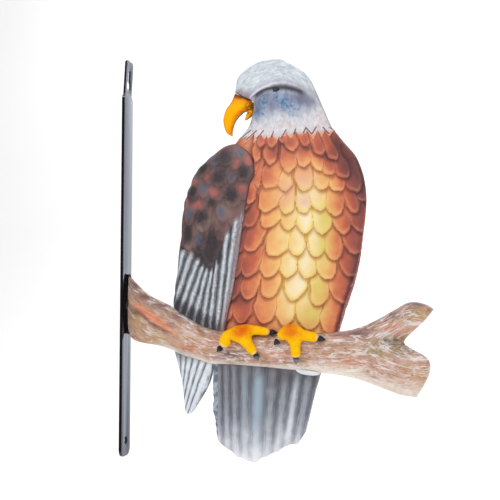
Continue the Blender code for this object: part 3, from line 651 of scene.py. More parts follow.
class Paint:
    """Builds one procedural paint, a node at a time. Places and sizes are in millimetres."""

    def __init__(self, name):
        self.material = bpy.data.materials.new(name)
        self.material.use_nodes = True
        self.tree = self.material.node_tree
        self.shader = self.tree.nodes["Principled BSDF"]
        self.place = self.scaled(self.level("ShaderNodeTexCoord", {}, "Object"), (1 / MM, 1 / MM, 1 / MM))
        self.colour = None

    def put(self, socket, value):
        if isinstance(value, Level):
            self.tree.links.new(value.socket, socket)
        else:
            socket.default_value = (*srgb(value), 1.0) if isinstance(value, str) else value

    def add(self, kind, inputs, **settings):
        node = self.tree.nodes.new(kind)
        for key, value in settings.items():
            setattr(node, key, value)
        for key, value in inputs.items():
            self.put(node.inputs[key], value)
        return node

    def level(self, kind, inputs, output=0, **settings):
        return Level(self, self.add(kind, inputs, **settings).outputs[output])

    def math(self, operation, a, b=0.0):
        return self.level("ShaderNodeMath", {0: a, 1: b}, operation=operation)

    def scaled(self, vector, by):
        return self.level("ShaderNodeVectorMath", {0: vector, 1: by}, operation="MULTIPLY")

    def vector(self, x, y):
        return self.level("ShaderNodeCombineXYZ", {0: x, 1: y})

    def parts(self, vector):
        return [Level(self, part) for part in self.add("ShaderNodeSeparateXYZ", {0: vector}).outputs]

    def marks(self, name):
        """The three numbers that a mesh's points carry under this name."""
        return self.parts(self.level("ShaderNodeAttribute", {}, "Vector", attribute_name=name))

    def noise(self, size, detail=3.0, rough=0.5, bend=0.0, at=None, stretch=(1, 1, 1)):
        """Noise centred on 0.5 with patches of about the given size."""
        at = self.scaled(at or self.place, tuple(s / size for s in stretch))
        inputs = {"Vector": at, "Scale": 1.0, "Detail": detail, "Roughness": rough, "Distortion": bend}
        return self.level("ShaderNodeTexNoise", inputs)

    def streaks(self, flow, across, along, detail=3.0, rough=0.5, bend=0.0):
        """Noise drawn out along a flow, from its fineness both ways."""
        return self.noise(1.0, detail, rough, bend, flow, (across, along, 1))

    def ramp(self, value, stops):
        """Colours at places along a value's range."""
        node = self.add("ShaderNodeValToRGB", {0: value})
        elements = node.color_ramp.elements
        while len(elements) < len(stops):
            elements.new(0.5)
        for element, (position, colour) in zip(elements, stops.items()):
            element.position, element.color = position, (*srgb(colour), 1.0)
        return Level(self, node.outputs[0])

    def mix(self, share, a, b):
        return self.level("ShaderNodeMix", {0: share, 6: a, 7: b}, 2, data_type="RGBA")

    def lay(self, colour, share):
        """Covers a share of the paint so far with a colour."""
        self.colour = self.mix(share, self.colour, colour)

    def finish(self, roughness, *reliefs, coat=0.0, gloss=0.3):
        """Joins the colour to the shader. Each relief is a height and its depth in millimetres."""
        normal = {}
        for height, depth in reliefs:
            inputs = {"Height": height, "Strength": 1.0, "Distance": depth * MM, **normal}
            normal = {"Normal": self.level("ShaderNodeBump", inputs)}
        inputs = {"Base Color": self.colour, "Roughness": roughness, "Specular IOR Level": gloss,
                  "Coat Weight": coat, "Coat Roughness": 0.08, **normal}
        for key, value in inputs.items():
            self.put(self.shader.inputs[key], value)
        return self.material


def black_enamel(paint):
    """Dark enamel whose clear coat mirrors its surroundings on the broad faces only. The broad faces also get
    a lighter, bluer base and the narrow edges a warmer, blacker one: painted reflection and painted shade.
    """
    x, y, height = paint.parts(paint.place)
    half = height.span(167.0, 168.0, 12.2, 9.7)
    broad = paint.math("SUBTRACT", paint.math("ABSOLUTE", y), half).span(-0.3, 0.1, 1.0, 0.0)
    broad *= paint.math("MAXIMUM", x.span(3.1, 3.3, 1.0, 0.0), height.span(100, 110))
    dust = paint.noise(2.2, 4.0, 0.7).span(0.62, 0.8)
    paint.colour = paint.mix(broad, "1e1618", paint.mix(dust, "222a3a", "363c4a"))
    # Coat strength set by height (weaker low down and on the tab), a bluish coat tint, and gloss set from the
    # near edge to the far one: painted reflection.
    coat = broad * (height.span(-205, -40, 0.3, 1.0) * height.span(164, 172, 1.0, 0.6))
    paint.put(paint.shader.inputs["Coat Tint"], "dee8fa")
    gloss = coat * y.span(-12.5, 12.5, 1.3, 0.05)
    return paint.finish(paint.noise(18).sway(0.1, 0.14), coat=coat, gloss=gloss)


def breast_paint(paint):
    inside, shadow, along = paint.marks("feather")
    zone, tint, flange = paint.marks("zone")
    chance, blush, slit_shade = paint.marks("vane")
    cast = paint.marks("cast")[0]
    zone += paint.noise(14).span(0.2, 0.8, -0.1, 0.1)
    zone += chance.span(0, 1, -0.07, 0.07)
    place = zone / 1.4
    heart = paint.ramp(place, {
        0.0: "f6e6c2", 0.18: "f0d393", 0.34: "ecb46e", 0.5: "e08e5c", 0.66: "be6248", 0.82: "924c42",
        1.0: "6c3e3e"})
    rim = paint.ramp(place, {
        0.0: "f5df8c", 0.18: "f3d27c", 0.34: "f0be76", 0.5: "e89e68", 0.66: "d07656", 0.82: "a4584a",
        1.0: "7a4642"})
    groove = paint.ramp(place, {
        0.0: "be8a3e", 0.34: "ac6232", 0.58: "823e2c", 0.8: "502a28", 1.0: "362226"})
    paint.colour = paint.mix(inside.span(0.8, 4.4), rim, heart)
    lit = inside.span(0.5, 1.3) * inside.span(1.3, 2.6, 1.0, 0.0) * along.span(0.06, 0.26, 0.12, 0.0)
    paint.lay("ffdeb0", lit)
    paint.lay("e4ac92", blush * 0.7)
    paint.lay("d6ca68", tint * 0.7)
    # The groove colour laid below each feather, in its cast shadow and as thin lines along its edges and side
    # seams is painted shade.
    paint.lay(groove, shadow.span(0.0, 5.0, 0.42, 0.0))
    paint.lay(groove, cast.span(-2.6, 1.0, 0.0, 0.86))
    line = inside.span(0.0, 0.9, 0.15, 0.0) + inside.span(0.0, 1.5, 0.55, 0.0) * along.span(0.1, 0.3)
    paint.lay(groove, line * inside.span(-0.7, -0.1))
    flecks = paint.noise(0.9, rough=0.7).span(0.5, 0.62)
    paint.lay(paint.mix(flecks, "9e564e", "e8beb4"), flange * 0.85)
    # Thin lines along the collar's cuts: painted shade.
    paint.lay("5c2c26", slit_shade.span(0.3, 0.9, 0.8, 0.0))
    return paint.finish(paint.noise(9).sway(0.34, 0.46), (paint.noise(2.5), 0.05))


def wing_paint(paint):
    inside, cast, low = paint.marks("feather")
    charcoal, slate, rose = paint.marks("spray")
    crest, long_feathers, tan = paint.marks("ridge")
    from_left, from_right, right_edge = paint.marks("rim")
    flow_x, flow_y, _ = paint.marks("flow")
    paint.colour = paint.mix(paint.noise(10), "6e5050", "866460")
    paint.lay("987e70", tan * 0.75)
    paint.lay("ac625c", rose.span(0.0, 0.8))
    paint.lay("526278", slate * 0.85)
    spots = charcoal + paint.noise(4.0, rough=0.6).sway(-0.1, 0.1)
    paint.lay("302b31", spots.span(0.02, 0.98, 0.0, 0.96))
    paint.lay("30282c", cast.span(-4.5, 0.8, 0.0, 0.42))
    # A faint lighter line just inside each scale's edge: painted highlight.
    paint.lay("9e8476", inside.span(-0.4, 1.4) * inside.span(1.4, 4.4, 0.09, 0.0))
    paint.lay("967670", paint.noise(2.4, 4.0, 0.7).span(0.55, 0.72, 0.0, 0.18))
    streak = paint.streaks(paint.vector(flow_x, flow_y), 2.0, 0.05, 4.0, 0.65)
    flecks = paint.noise(0.9, rough=0.8)
    worn = crest + (streak.sway(-0.36, 0.36) + flecks.span(0.34, 0.66, -0.42, 0.42))
    # Besides the dry-brushed wear, the blades darken towards the branch: painted shade.
    worn += low.span(-16.0, -4.0, 0.5, 0.0)
    silver = paint.mix(streak.span(0.36, 0.58), "b8c4d0", "f6fafe")
    blades = paint.mix(worn.span(-0.25, 0.95, 1.0, 0.0), "36343c", silver)
    grain = (flecks + streak.sway(-0.08, 0.08)).span(0.48, 0.58)
    edging = paint.mix(grain, "7e5e60", "ccc0c8")
    paint.lay(paint.mix(right_edge * 0.85, blades, edging), long_feathers)
    # Dark line along the right edge, where the wing stands off the breast: painted shade.
    paint.lay("3e282c", from_right.span(0.2, 1.3, 0.75, 0.0))
    paint.lay("342e36", from_left.span(0.4, 2.0, 0.6, 0.0))
    return paint.finish(paint.noise(7).sway(0.36, 0.5), (paint.noise(1.4), 0.05))


def wing_tip_paint(paint):
    crest, painted_shade, _ = paint.marks("ridge")
    flow_x, flow_y, _ = paint.marks("flow")
    worn = crest + paint.streaks(paint.vector(flow_x, flow_y), 1.4, 0.12).sway(-0.22, 0.22)
    silver = paint.mix(paint.noise(6, 2.0), "c4ced8", "eef2f6")
    paint.colour = paint.mix(worn.span(0.35, 1.05, 1.0, 0.0), "60626c", silver)
    # The tip's top, under the branch, is darkened: painted shade.
    paint.lay("46464e", painted_shade)
    return paint.finish(0.42, (paint.noise(1.4), 0.05))


def tail_paint(paint):
    crest, down, flange = paint.marks("ridge")
    flow_x, flow_y, blue = paint.marks("flow")
    down += paint.noise(14).sway(-0.08, 0.08)
    rib = paint.ramp(down, {0.0: "6c686c", 0.16: "868890", 0.5: "a4a8b2", 0.75: "ced1d9", 1.0: "eceef3"})
    groove = paint.ramp(down, {
        0.0: "525056", 0.35: "60636e", 0.65: "8e9099", 0.85: "c4c5cc", 1.0: "dee0e6"})
    streak = paint.streaks(paint.vector(flow_x, flow_y), 1.0, 0.08)
    paint.colour = paint.mix((crest + streak.sway(-0.24, 0.24)).span(0.1, 1.0), rib, groove)
    paint.lay("9eb2c2", blue)
    wear = paint.noise(5).span(0.4, 0.6)
    paint.lay(paint.mix(wear, "747c8c", "b0bac8"), flange)
    return paint.finish(paint.noise(8).sway(0.36, 0.48), (paint.noise(1.8), 0.05))


def pale_paint(paint):
    paint.colour = paint.mix(paint.noise(6), "d0d2d6", "eceef2")
    return paint.finish(0.42, (paint.noise(1.5, 2.0), 0.05))


def head_paint(paint):
    brow, brow_share, tooth = paint.marks("brow")
    hood, hood_share, slit_shade = paint.marks("hood")
    blue, salmon, shade = paint.marks("spray")
    radius, arc_at, crown = paint.marks("flow")
    rim, plum, mauve = paint.marks("edge")
    strokes = paint.streaks(paint.vector(radius, arc_at), 0.42, 0.11, 4.0, 0.6, 0.5)
    dabs = paint.noise(3.0, 4.0, 0.65, 0.4, stretch=(1, 1, 0.55))
    crown_colour = paint.ramp(strokes, {
        0.3: "acb6c0", 0.44: "c0c9d1", 0.54: "d0d7dd", 0.66: "e0e5ea", 0.78: "eceff2"})
    neck_colour = paint.ramp(dabs, {0.3: "b0b2be", 0.44: "c8cad2", 0.56: "dadadf", 0.7: "eaeaed"})
    paint.colour = paint.mix(crown, neck_colour, crown_colour)
    cloud = paint.noise(6.5, bend=0.5, stretch=(1, 1, 0.5))
    face = paint.ramp(cloud, {0.32: "5c627c", 0.48: "78809a", 0.64: "9ca4ba"})
    paint.lay(face, shade)
    paint.lay("80a4c2", blue * paint.noise(4.6, rough=0.6, bend=0.4).span(0.4, 0.58) * 0.8)
    paint.lay("466a92", blue * paint.noise(3.4, rough=0.6).span(0.47, 0.6) * 0.9)
    # Plum patches below the brow and behind the eye: painted shade.
    paint.lay("706e84", plum * 0.7)
    paint.lay("e4beae", salmon * paint.noise(3.0, rough=0.65).span(0.42, 0.62) * 0.6)
    paint.lay("98828a", mauve * 0.85)
    # A grey-lavender band above the brow, and a dark band along the hood under the brow: painted shade.
    over_brow_shade = brow.span(1.4, 2.8) * brow.span(3.0, 9.0, 1.0, 0.0)
    paint.lay("a8a8ba", over_brow_shade * 0.62)
    over = hood / hood_share.span(0.3, 0.6, 1.6, 6.0)
    below = hood * -1.0 / hood_share.span(0.2, 0.6, 4.0, 5.0)
    painted_shade = over.span(0.0, 1.0, 1.0, 0.0) * below.span(0.0, 1.0, 1.0, 0.0)
    ends = hood_share.span(0.0, 0.12) * hood_share.span(0.8, 1.0, 1.0, 0.0)
    paint.lay("383644", painted_shade * ends * 0.95)
    lit = brow.span(-0.3, 0.3) * brow.span(0.9, 2.0, 1.0, 0.0)
    paint.lay("dedae6", lit * brow_share.span(0.42, 0.56, 1.0, 0.0) * 0.9)
    # Darker grey close to the head's outline, where the sheet turns away: painted shade.
    paint.lay("767a86", rim * 0.45)
    paint.lay("d8987e", tooth * paint.noise(1.6, 2.0).span(0.3, 0.55, 0.6, 1.0))
    # Thin lines along the collar's cuts: painted shade.
    paint.lay("542a26", slit_shade.span(0.3, 0.9, 0.9, 0.0))
    return paint.finish(paint.noise(8).sway(0.36, 0.5), (strokes, 0.14))


def beak_paint(paint):
    down, across, root = paint.marks("horn")
    cloud = paint.noise(5)
    orange = across.span(0.5, 0.95, 0.0, 0.9) + down.span(0.75, 1.0, 0.0, 0.7)
    orange = orange + down.span(0.02, 0.26, 0.9, 0.0) + across.span(0.0, 0.2, 0.5, 0.0)
    paint.colour = paint.mix(orange * cloud.sway(0.6, 1.2), "ffb200", "e27404")
    paint.lay("603614", (down + cloud.sway(-0.03, 0.03)).span(0.03, 0.13, 0.85, 0.0))
    paint.lay("604e18", root * paint.noise(2.0).span(0.35, 0.6))
    # Grey-purple strip along the inner edge, for the beak's side: painted shade.
    paint.lay("76687a", across.span(0.93, 0.985) * down.span(0.3, 0.45))
    return paint.finish(0.4, (paint.noise(2.0), 0.08), gloss=0.08)


def dark_paint(paint):
    worn = paint.noise(1.2, rough=0.7)
    paint.colour = paint.mix(worn.span(0.55, 0.75), "24242a", "5c5c62")
    height = paint.parts(paint.place)[2]
    paint.lay("848a94", height.span(-103.0, -98.5, 0.75, 0.0))
    return paint.finish(0.4, (worn, 0.12))


def foot_paint(paint):
    toe, knuckle, chance = paint.marks("toe")
    paint.colour = paint.mix(paint.noise(4.5, rough=0.6).sway(0, 1), "ffc800", "ffb804")
    paint.lay("e06810", knuckle * paint.noise(5.0).span(0.25, 0.5, 0.3, 1.0))
    paint.lay("e2a010", paint.noise(3.0, 4.0, 0.65).span(0.54, 0.66, 0.0, 0.45))
    paint.lay("ffecb4", toe.span(0.84, 0.97) * paint.noise(2.2, 2.0).span(0.3, 0.55) * 0.85)
    rings = paint.noise(1.6, 2.0, at=paint.vector(toe * 40.0, chance))
    return paint.finish(0.42, (rings, 0.18), gloss=0.08)


def branch_paint(paint):
    along, across, streak_shadow = paint.marks("grain")
    calm, painted_edge_shade, frost = paint.marks("calm")
    orange, mauve, teal = paint.marks("spray")
    cream, ochre, rust = paint.marks("wash")
    streaks = partial(paint.streaks, paint.vector(along, across))
    broad = streaks(0.055, 0.14, 4.0, 0.6, 0.9)
    patches = streaks(0.12, 0.26, 5.0, 0.66, 1.2)
    fine = streaks(0.1, 0.55, 4.0, 0.6, 0.7)
    brush = streaks(0.12, 0.5, 5.0, 0.66, 1.2)
    hue = streaks(0.07, 0.12, 3.0, 0.6, 0.6)
    long_strokes = streaks(0.05, 0.26, 5.0, 0.62, 1.8)
    under = paint.ramp(broad, {
        0.32: "8c685c", 0.42: "ac826c", 0.5: "c49c82", 0.58: "bc9670", 0.68: "a67c72"})
    grain = paint.ramp(fine, {
        0.34: "8a685a", 0.44: "ba8e78", 0.53: "d4b29e", 0.62: "c6967e", 0.72: "e2ccc0"})
    paint.colour = paint.mix(0.5, under, grain)
    paint.lay("ba9862", hue.span(0.54, 0.64, 0.0, 0.6))
    paint.lay("cea6a2", hue.span(0.36, 0.46, 0.55, 0.0))
    paint.lay("dec0b8", patches.span(0.52, 0.62, 0.0, 0.7))
    paint.lay("ca8668", rust * fine.span(0.58, 0.44))
    paint.lay("b69258", ochre * patches.span(0.36, 0.52))
    paint.lay("705050", mauve * fine.span(0.3, 0.6, 0.6, 1.0))
    paint.lay("826458", patches.span(0.36, 0.46, 0.55, 0.0))
    # Darker along the branch's upper edge and the lower prong's edge: painted shade.
    paint.lay("70504c", painted_edge_shade * fine.span(0.3, 0.6, 0.75, 0.3))
    salmon = paint.mix(fine.span(0.42, 0.66), "d4825e", "e8a080")
    paint.lay(salmon, orange * fine.span(0.3, 0.5, 0.75, 0.95))
    # Brown arc under the salmon streak: painted shadow.
    paint.lay("86523c", streak_shadow * 0.9)
    paint.lay("a69670", teal * 0.55)
    paint.lay("566a6c", teal * (paint.noise(2.6, rough=0.6).span(0.48, 0.58) * 0.8))
    zones = streaks(0.05, 0.12, bend=0.8).span(0.42, 0.56) * calm.span(0.0, 1.0, 1.0, 0.15)
    zones = paint.math("MAXIMUM", zones, frost)
    paint.lay("eae2e2", zones * long_strokes.span(0.5, 0.6, 0.0, 0.8))
    paint.lay("f2ecea", zones * brush.span(0.52, 0.64, 0.0, 0.55))
    paint.lay("f4eade", cream * patches.span(0.34, 0.5, 0.55, 1.0))
    return paint.finish(fine.sway(0.36, 0.52), (fine, 0.8), (brush, 0.5))


def studio_floor(paint):
    paint.colour = paint.mix(paint.noise(400, 1.0), (0.93, 0.93, 0.93, 1.0), (0.96, 0.96, 0.96, 1.0))
    return paint.finish(0.9)


# Every paint by its name
PAINTS = {mixed.__name__: mixed for mixed in (
    black_enamel, breast_paint, wing_paint, wing_tip_paint, tail_paint, pale_paint, head_paint, beak_paint,
    dark_paint, foot_paint, branch_paint, studio_floor)}


def painted(name):
    """The paint of this name, mixed when it is first asked for. The frame's own plain materials go by the
    bare names."""
    return bpy.data.materials.get("fine_" + name) or PAINTS[name](Paint("fine_" + name))


# ---------------------------------------------------------------- pieces


def outline_plate(bm, outline, holes, low_x, thickness):
    """A flat plate standing across X, from its outline and holes as (y, z)."""
    edges = []
    for loop in [outline, *holes]:
        verts = [bm.verts.new((low_x, y, z)) for y, z in loop]
        edges += [bm.edges.new((a, b)) for a, b in zip(verts, verts[1:] + verts[:1])]
    filled = of_kind(bmesh.ops.triangle_fill(bm, use_beauty=True, edges=edges)["geom"], bmesh.types.BMFace)
    out = bmesh.ops.extrude_face_region(bm, geom=filled, use_keep_orig=True)["geom"]
    moved = of_kind(out, bmesh.types.BMVert)
    bmesh.ops.translate(bm, vec=(thickness, 0, 0), verts=moved)
    return [v for e in edges for v in e.verts] + moved


def arc(centre_y, centre_z, radius, start, end, steps=24, stretch=1.0):
    turns = np.radians(np.linspace(start, end, steps))
    return [(centre_y + radius * math.cos(t), centre_z + stretch * radius * math.sin(t)) for t in turns]


def rounded_box(half, low, high, corner_low, corner_high, steps=9):
    """Outline of a bar with rounded ends, as (y, z)."""
    return (arc(half - corner_low, low + corner_low, corner_low, -90, 0, steps)
            + arc(half - corner_high, high - corner_high, corner_high, 0, 90, steps)
            + arc(corner_high - half, high - corner_high, corner_high, 90, 180, steps)
            + arc(corner_low - half, low + corner_low, corner_low, 180, 270, steps))


def bevelled_mesh(name, bm, offset=0.35):
    bmesh.ops.recalc_face_normals(bm, faces=bm.faces)
    sharp = [e for e in bm.edges if e.calc_face_angle(0) > math.radians(60)]
    bmesh.ops.bevel(bm, geom=sharp, offset=offset, segments=3, profile=0.5, affect="EDGES", material=-1)
    return mesh_of(name, bm, sharp=16)


def build_strap(settings):
    """The wall strap with its keyhole tab, and the oval end plate."""
    bm = bmesh.new()
    bar = rounded_box(STRAP_HIGH[1], STRAP_LOW[2], SHOULDER_Z, BAR_CORNER, BAR_CORNER)
    outline_plate(bm, bar, [arc(0, SCREW_Z, SCREW_RADIUS, 0, 345, 24)], 0, BAR_THICKNESS)
    keyhole = arc(0, KEYHOLE_Z, KEYHOLE_RADIUS, 121.3, 418.7, 26) + arc(0, SLOT_Z, SLOT_RADIUS, 0, 180, 12)
    plate = rounded_box(TAB_HALF, TAB_FOOT_Z, STRAP_HIGH[2], 0.5, TAB_CORNER)
    tab = outline_plate(bm, plate, [keyhole], TAB_X, TAB_THICKNESS)
    lean = Matrix.Rotation(TAB_LEAN, 4, "Y")
    bmesh.ops.rotate(bm, verts=list(set(tab)), cent=(TAB_X, 0, TAB_FOOT_Z), matrix=lean)
    place_piece(bevelled_mesh("strap", bm), "black_enamel", "wall_strap")

    bm = bmesh.new()
    half, tall = BOSS_HIGH[1], (BOSS_HIGH[2] - BOSS_LOW[2]) / 2
    oval = arc(0, (BOSS_LOW[2] + BOSS_HIGH[2]) / 2, half, 0, 352.5, 48, tall / half)
    outline_plate(bm, oval, [], BOSS_LOW[0], BOSS_HIGH[0] - BOSS_LOW[0])
    place_piece(bevelled_mesh("boss", bm, 0.4), "black_enamel", "end_boss")


def bead(bm, x, y, z, size, seed):
    """A small flattened and uneven lump."""
    made = bmesh.ops.create_icosphere(bm, subdivisions=3, radius=1.0)["verts"]
    rng = np.random.default_rng(seed)
    waves = rng.uniform(1.5, 4, (4, 3))
    for vert in made:
        lump = 1 + 0.12 * sum(math.sin(wave @ np.array(vert.co) + 2 * n) for n, wave in enumerate(waves))
        vert.co = Vector((x, y, z)) + Vector(a * b * lump for a, b in zip(vert.co, size))


def build_welds():
    """Weld beads between the end plate and the branch, and under the wing."""
    bm = bmesh.new()
    for number, (x, z, size) in enumerate(END_WELDS):
        bead(bm, x, 0, z, size, number)
    for side in SIDES.values():
        for number, (x, z) in enumerate(WING_WELDS):
            depth = branch_base(np.array([x]), np.array([z]))[0] + 0.2
            bead(bm, x, side * depth, z, (1.8, 0.7, 0.8), 7 + number)
    place_piece(mesh_of("weld_beads", bm), "dark_paint")


def press_branch(x, z, u, v):
    bottom, top = read(BRANCH_BOTTOM, x), read(BRANCH_TOP, x)
    across = share_of(bottom, top, z)
    stem = np.where(x > 250, read(BRANCH_TOP, 250.0) - read(BRANCH_BOTTOM, 250.0), top - bottom)
    upper = smooth(-7, 5, z - CROTCH_Z)
    off = (1 - upper) * (z - bottom - stem / 2) + upper * (stem / 2 - top + z)
    bark = ripple(x * 0.15, off, 6.5, 21) * 0.6 + ripple(x * 0.3, off, 12, 22) * 0.6
    bark += ripple(x, z, 34, 23) * 0.7
    bark *= inset(u, v, 0.012, 0.02, 0.035, 0.035) * (1 - 0.9 * sprayed(x, z, SMOOTH_BARK))
    depth = np.where(u > 0.9999, SHEET, branch_base(x, z)) + bark
    gap, share = to_line(x, z, *SAP)
    gap += 0.4 * ripple(x, z, 9, 25)
    (sap_x, sap_z), (sap_end_x, sap_end_z) = SAP
    below = z < sap_z + (x - sap_x) * (sap_end_z - sap_z) / (sap_end_x - sap_x)
    # The arc under the salmon streak, for its painted shadow
    streak_shadow = smooth(2.6, 0.6, np.abs(gap - 0.6 - 4.6 * np.sin(math.pi * share)))
    streak_shadow *= smooth(0.1, 0.4, share) * smooth(1.0, 0.8, share) * below
    edge_shade = smooth(0.66, 0.98, across) * smooth(150, 80, x)
    edge_shade += smooth(0.8, 1.0, across) * smooth(222, 250, x) * smooth(306, 288, x)
    edge_shade += 0.8 * smooth(5, 0.5, near_lines(x, z, zip(PRONG_LOWER, PRONG_LOWER[1:])))
    spots = {key: sprayed(x, z, places_at) for key, places_at in BRANCH_SPRAY.items()}
    salmon = smooth(1.2, 0.2, gap / (0.4 + 6.0 * np.sin(math.pi * share) ** 0.8))
    cream = smooth(0.2 + 0.2 * smooth(150, 220, x) - 0.14 * smooth(225, 255, x), 0.02, across)
    cream *= smooth(30, 60, x) * (1 - 0.35 * smooth(225, 260, x))
    return depth, {
        "grain": (x, off, streak_shadow),
        "calm": (smooth(15, 6, gap) * smooth(0.0, 0.2, share + 0.1), edge_shade, spots["frost"]),
        "spray": (salmon, spots["mauve"], spots["teal"]),
        "wash": (cream, spots["ochre"] * 0.9, spots["rust"]),
    }


def build_branch(settings):
    """The two pressed halves of the forked branch, and the weld beads."""
    fork = PRONG_INNER + PRONG_LOWER + PRONG_END[1:]
    edges = [curve(line) for line in ([BRANCH_TOP[0], BRANCH_BOTTOM[0]], fork, BRANCH_TOP, BRANCH_BOTTOM)]
    for label, side in SIDES.items():
        sheet = pressed_sheet(side, edges, BARK_CELL * settings.cell / MM, press_branch, ease=0.0)
        place_sheets("bark", "branch", label, "branch_paint", sheet)
    build_welds()


def press_trunk(x, z, u, v, lift):
    left, right = body_limits(z)
    inner = right - read(RIM_FLANGE, z) - 0.5 * ripple(x, z, 5, 5) * smooth(20, -20, z)
    wave_x, wave_z = 0.8 * ripple(x, z, 13, 3), 0.6 * ripple(x, z, 10, 4)
    inside, shadow, along, cast, which = lay_scales(
        x + wave_x, z + wave_z, BREAST_SCALES, roundness=0.8, power=1.7)
    rim = smooth(0, 5, x - left) * smooth(0, 3, inner - x) * smooth(0, 0.02, v) * smooth(0, 0.02, 1 - v)
    depth = body_depth(x, z) + rim * scale_relief(inside, shadow, along, lift)
    depth = SHEET + (depth - SHEET) * closing(np.minimum(u, 1 - u), 0.02)
    centre = np.interp(z, [-80, -40, 20, 70, 105], [184, 186, 192, 192, 186])
    sides = np.where(x < centre, (centre - x) / 56, (x - centre) / 42)
    high, low = smooth(42, 108, z) * 0.78, smooth(-24, -84, z) * 0.5
    zone = np.sqrt(sides**2 + high**2 + low**2)
    zone += 0.4 * smooth(204, 234, x) * smooth(54, 100, z) - 0.42 * smooth(156, 124, x) * smooth(52, 100, z)
    zone += 0.22 * sprayed(x, z, BREAST_SPRAY["shade"]) - 0.42 * smooth(-42, -60, z) * smooth(140, 116, x)
    # Darker inside the lower right flange: painted shade in the groove beside it.
    zone += 0.6 * smooth(5, 0, inner - x) * smooth(10, -50, z)
    tint = sprayed(x, z, BREAST_SPRAY["green"]) * smooth(1.0, 0.5, zone)
    blush = sprayed(x, z, BREAST_SPRAY["blush"]) * smooth(1.0, 0.4, zone)
    return depth, {
        "feather": (inside, shadow, along),
        "zone": (zone, tint, smooth(-0.3, 0.3, x - inner)),
        "vane": (np.mod(which * 0.618, 1), blush, np.minimum(near_lines(x, z, SLITS), 5)),
        "cast": (cast, 0, 0),
    }


def build_trunk(settings):
    """The breast and back, pressed with overlapping feathers."""
    bottom = rest_on_branch(body_depth, *TRUNK_STANDS, True)
    top = curve([(x, z - 0.4) for x, z in NOTCHES])
    left = curve([tuple(top[0])] + [p for p in BODY_LEFT[::-1] if -70 < p[1] < 108] + [tuple(bottom[0])])
    right = curve([tuple(top[-1])] + [p for p in BODY_RIGHT[::-1] if -70 < p[1] < 114] + [tuple(bottom[-1])])
    x, z = right.T
    right[:, 0] -= np.abs(0.45 * ripple(x, z, 4, 8) * smooth(60, 0, z) * smooth(-78, -70, z))
    press = partial(press_trunk, lift=settings.feather_lift / MM)
    for label, side in SIDES.items():
        sheet = pressed_sheet(side, (left, right, top, bottom), settings.cell / MM, press)
        place_sheets("breast", "trunk", label, "breast_paint", sheet)


def head_relief(x, z):
    """Brow, eye hollow and hammered surface of the head."""
    above, share = beside(x, z, BROW)
    behind = smooth(0.5, 0.75, share)
    fall = 0.9 + 6 * behind
    ends = smooth(0, 0.1, share) * smooth(1.0, 0.8, share)
    high = np.where(above > 0, 1 - smooth(0, 24, above), smooth(-fall, 0, above))
    hollow = np.exp(-(((above + 3.5) / 3.5) ** 2)) * (1 - 0.6 * behind)
    return ends * (2.2 * high - 1.4 * hollow) + 0.2 * ripple(x, z, 9, 31) + 0.12 * ripple(x, z, 4.5, 32)


def head_marks(x, z, tooth):
    above, share = beside(x, z, BROW)
    over_hood, hood_share = beside(x, z, HOOD)
    left, right = body_limits(z)
    spots = {key: sprayed(x, z, places_at) for key, places_at in HEAD_SPRAY.items()}
    centre_x, centre_z = 160, 150
    return {
        "brow": (np.clip(above, -20, 20), share, tooth),
        "hood": (np.clip(over_hood, -20, 20), hood_share, np.minimum(near_lines(x, z, SLITS), 5)),
        "spray": (spots["blue"], spots["salmon"], spots["shade"] * smooth(2, -3, above)),
        "flow": (np.hypot(x - centre_x, z - centre_z), np.arctan2(z - centre_z, x - centre_x) * 42,
                 smooth(-2, 4, above)),
        # The first edge mark darkens the paint close to the outline: painted shade.
        "edge": (smooth(2.6, 0.3, np.minimum(x - left, right - x)), spots["plum"], spots["mauve"]),
    }


def press_head(x, z, u, v):
    shut = closing(np.minimum(np.minimum(u, 1 - u), v), 0.012)
    depth = SHEET + (body_depth(x, z) - SHEET) * shut
    depth += inset(u, v, 0.05, 0.04, 0.06, 0.03) * head_relief(x, z)
    return depth, head_marks(x, z, 0.5 * smooth(6, 1, z - read(NOTCHES, x)))


def collar_tooth(number, side, cell):
    """One pointed feather of the collar, flush with the neck at its root and proud at its tip."""
    notches, tip = np.array(NOTCHES[number:number + 2], float), np.array(TOOTH_TIPS[number])
    lean = notches.mean(axis=0) - tip
    root = TOOTH_ROOT * lean / np.hypot(*lean)
    left, right = (np.array([notch + root, notch, tip + (off, 0)])
                   for notch, off in zip(notches, (-0.2, 0.2)))
    right[:, 0] = np.minimum(right[:, 0], read(BODY_RIGHT, right[:, 1], 1, 0) - 0.6)

    def press(x, z, u, v):
        lift = 0.12 + 0.75 * smooth(0.1, 0.9, v) + 0.3 * lens(u) * (1 - v)
        depth = np.maximum(body_depth(x, z), 1.2) + lift * smooth(0.0, 0.2, v)
        return depth, head_marks(x, z, smooth(0.2, 0.8, v))

    edges = (left, right, np.array([left[0], right[0]]), np.array([left[-1], right[-1]]))
    return pressed_sheet(side, edges, cell * 0.8, press, ease=0.0)


def build_head(settings):
    """The head with its brow and the pointed collar feathers, and the eyes."""
    cell = settings.cell / MM
    bottom = curve([(x, z + 0.1) for x, z in NOTCHES])
    left = curve(FACE[:-1] + [tuple(bottom[0])])
    right = curve(NAPE[:-1] + [tuple(bottom[-1])])
    at = np.array([EYE], float).T
    eye_depth = body_depth(*at)[0] + head_relief(*at)[0] + 0.1
    for label, side in SIDES.items():
        head = pressed_sheet(side, (left, right, curve(CROWN), bottom), cell, press_head)
        teeth = [collar_tooth(number, side, cell) for number in range(len(TOOTH_TIPS))]
        place_sheets("face", "head", label, "head_paint", head, *teeth)
        bm = bmesh.new()
        bead(bm, EYE[0], side * eye_depth, EYE[1], PUPIL_SIZE, 3)
        place_piece(mesh_of("pupil_" + label, bm), "dark_paint", "eye_" + label)


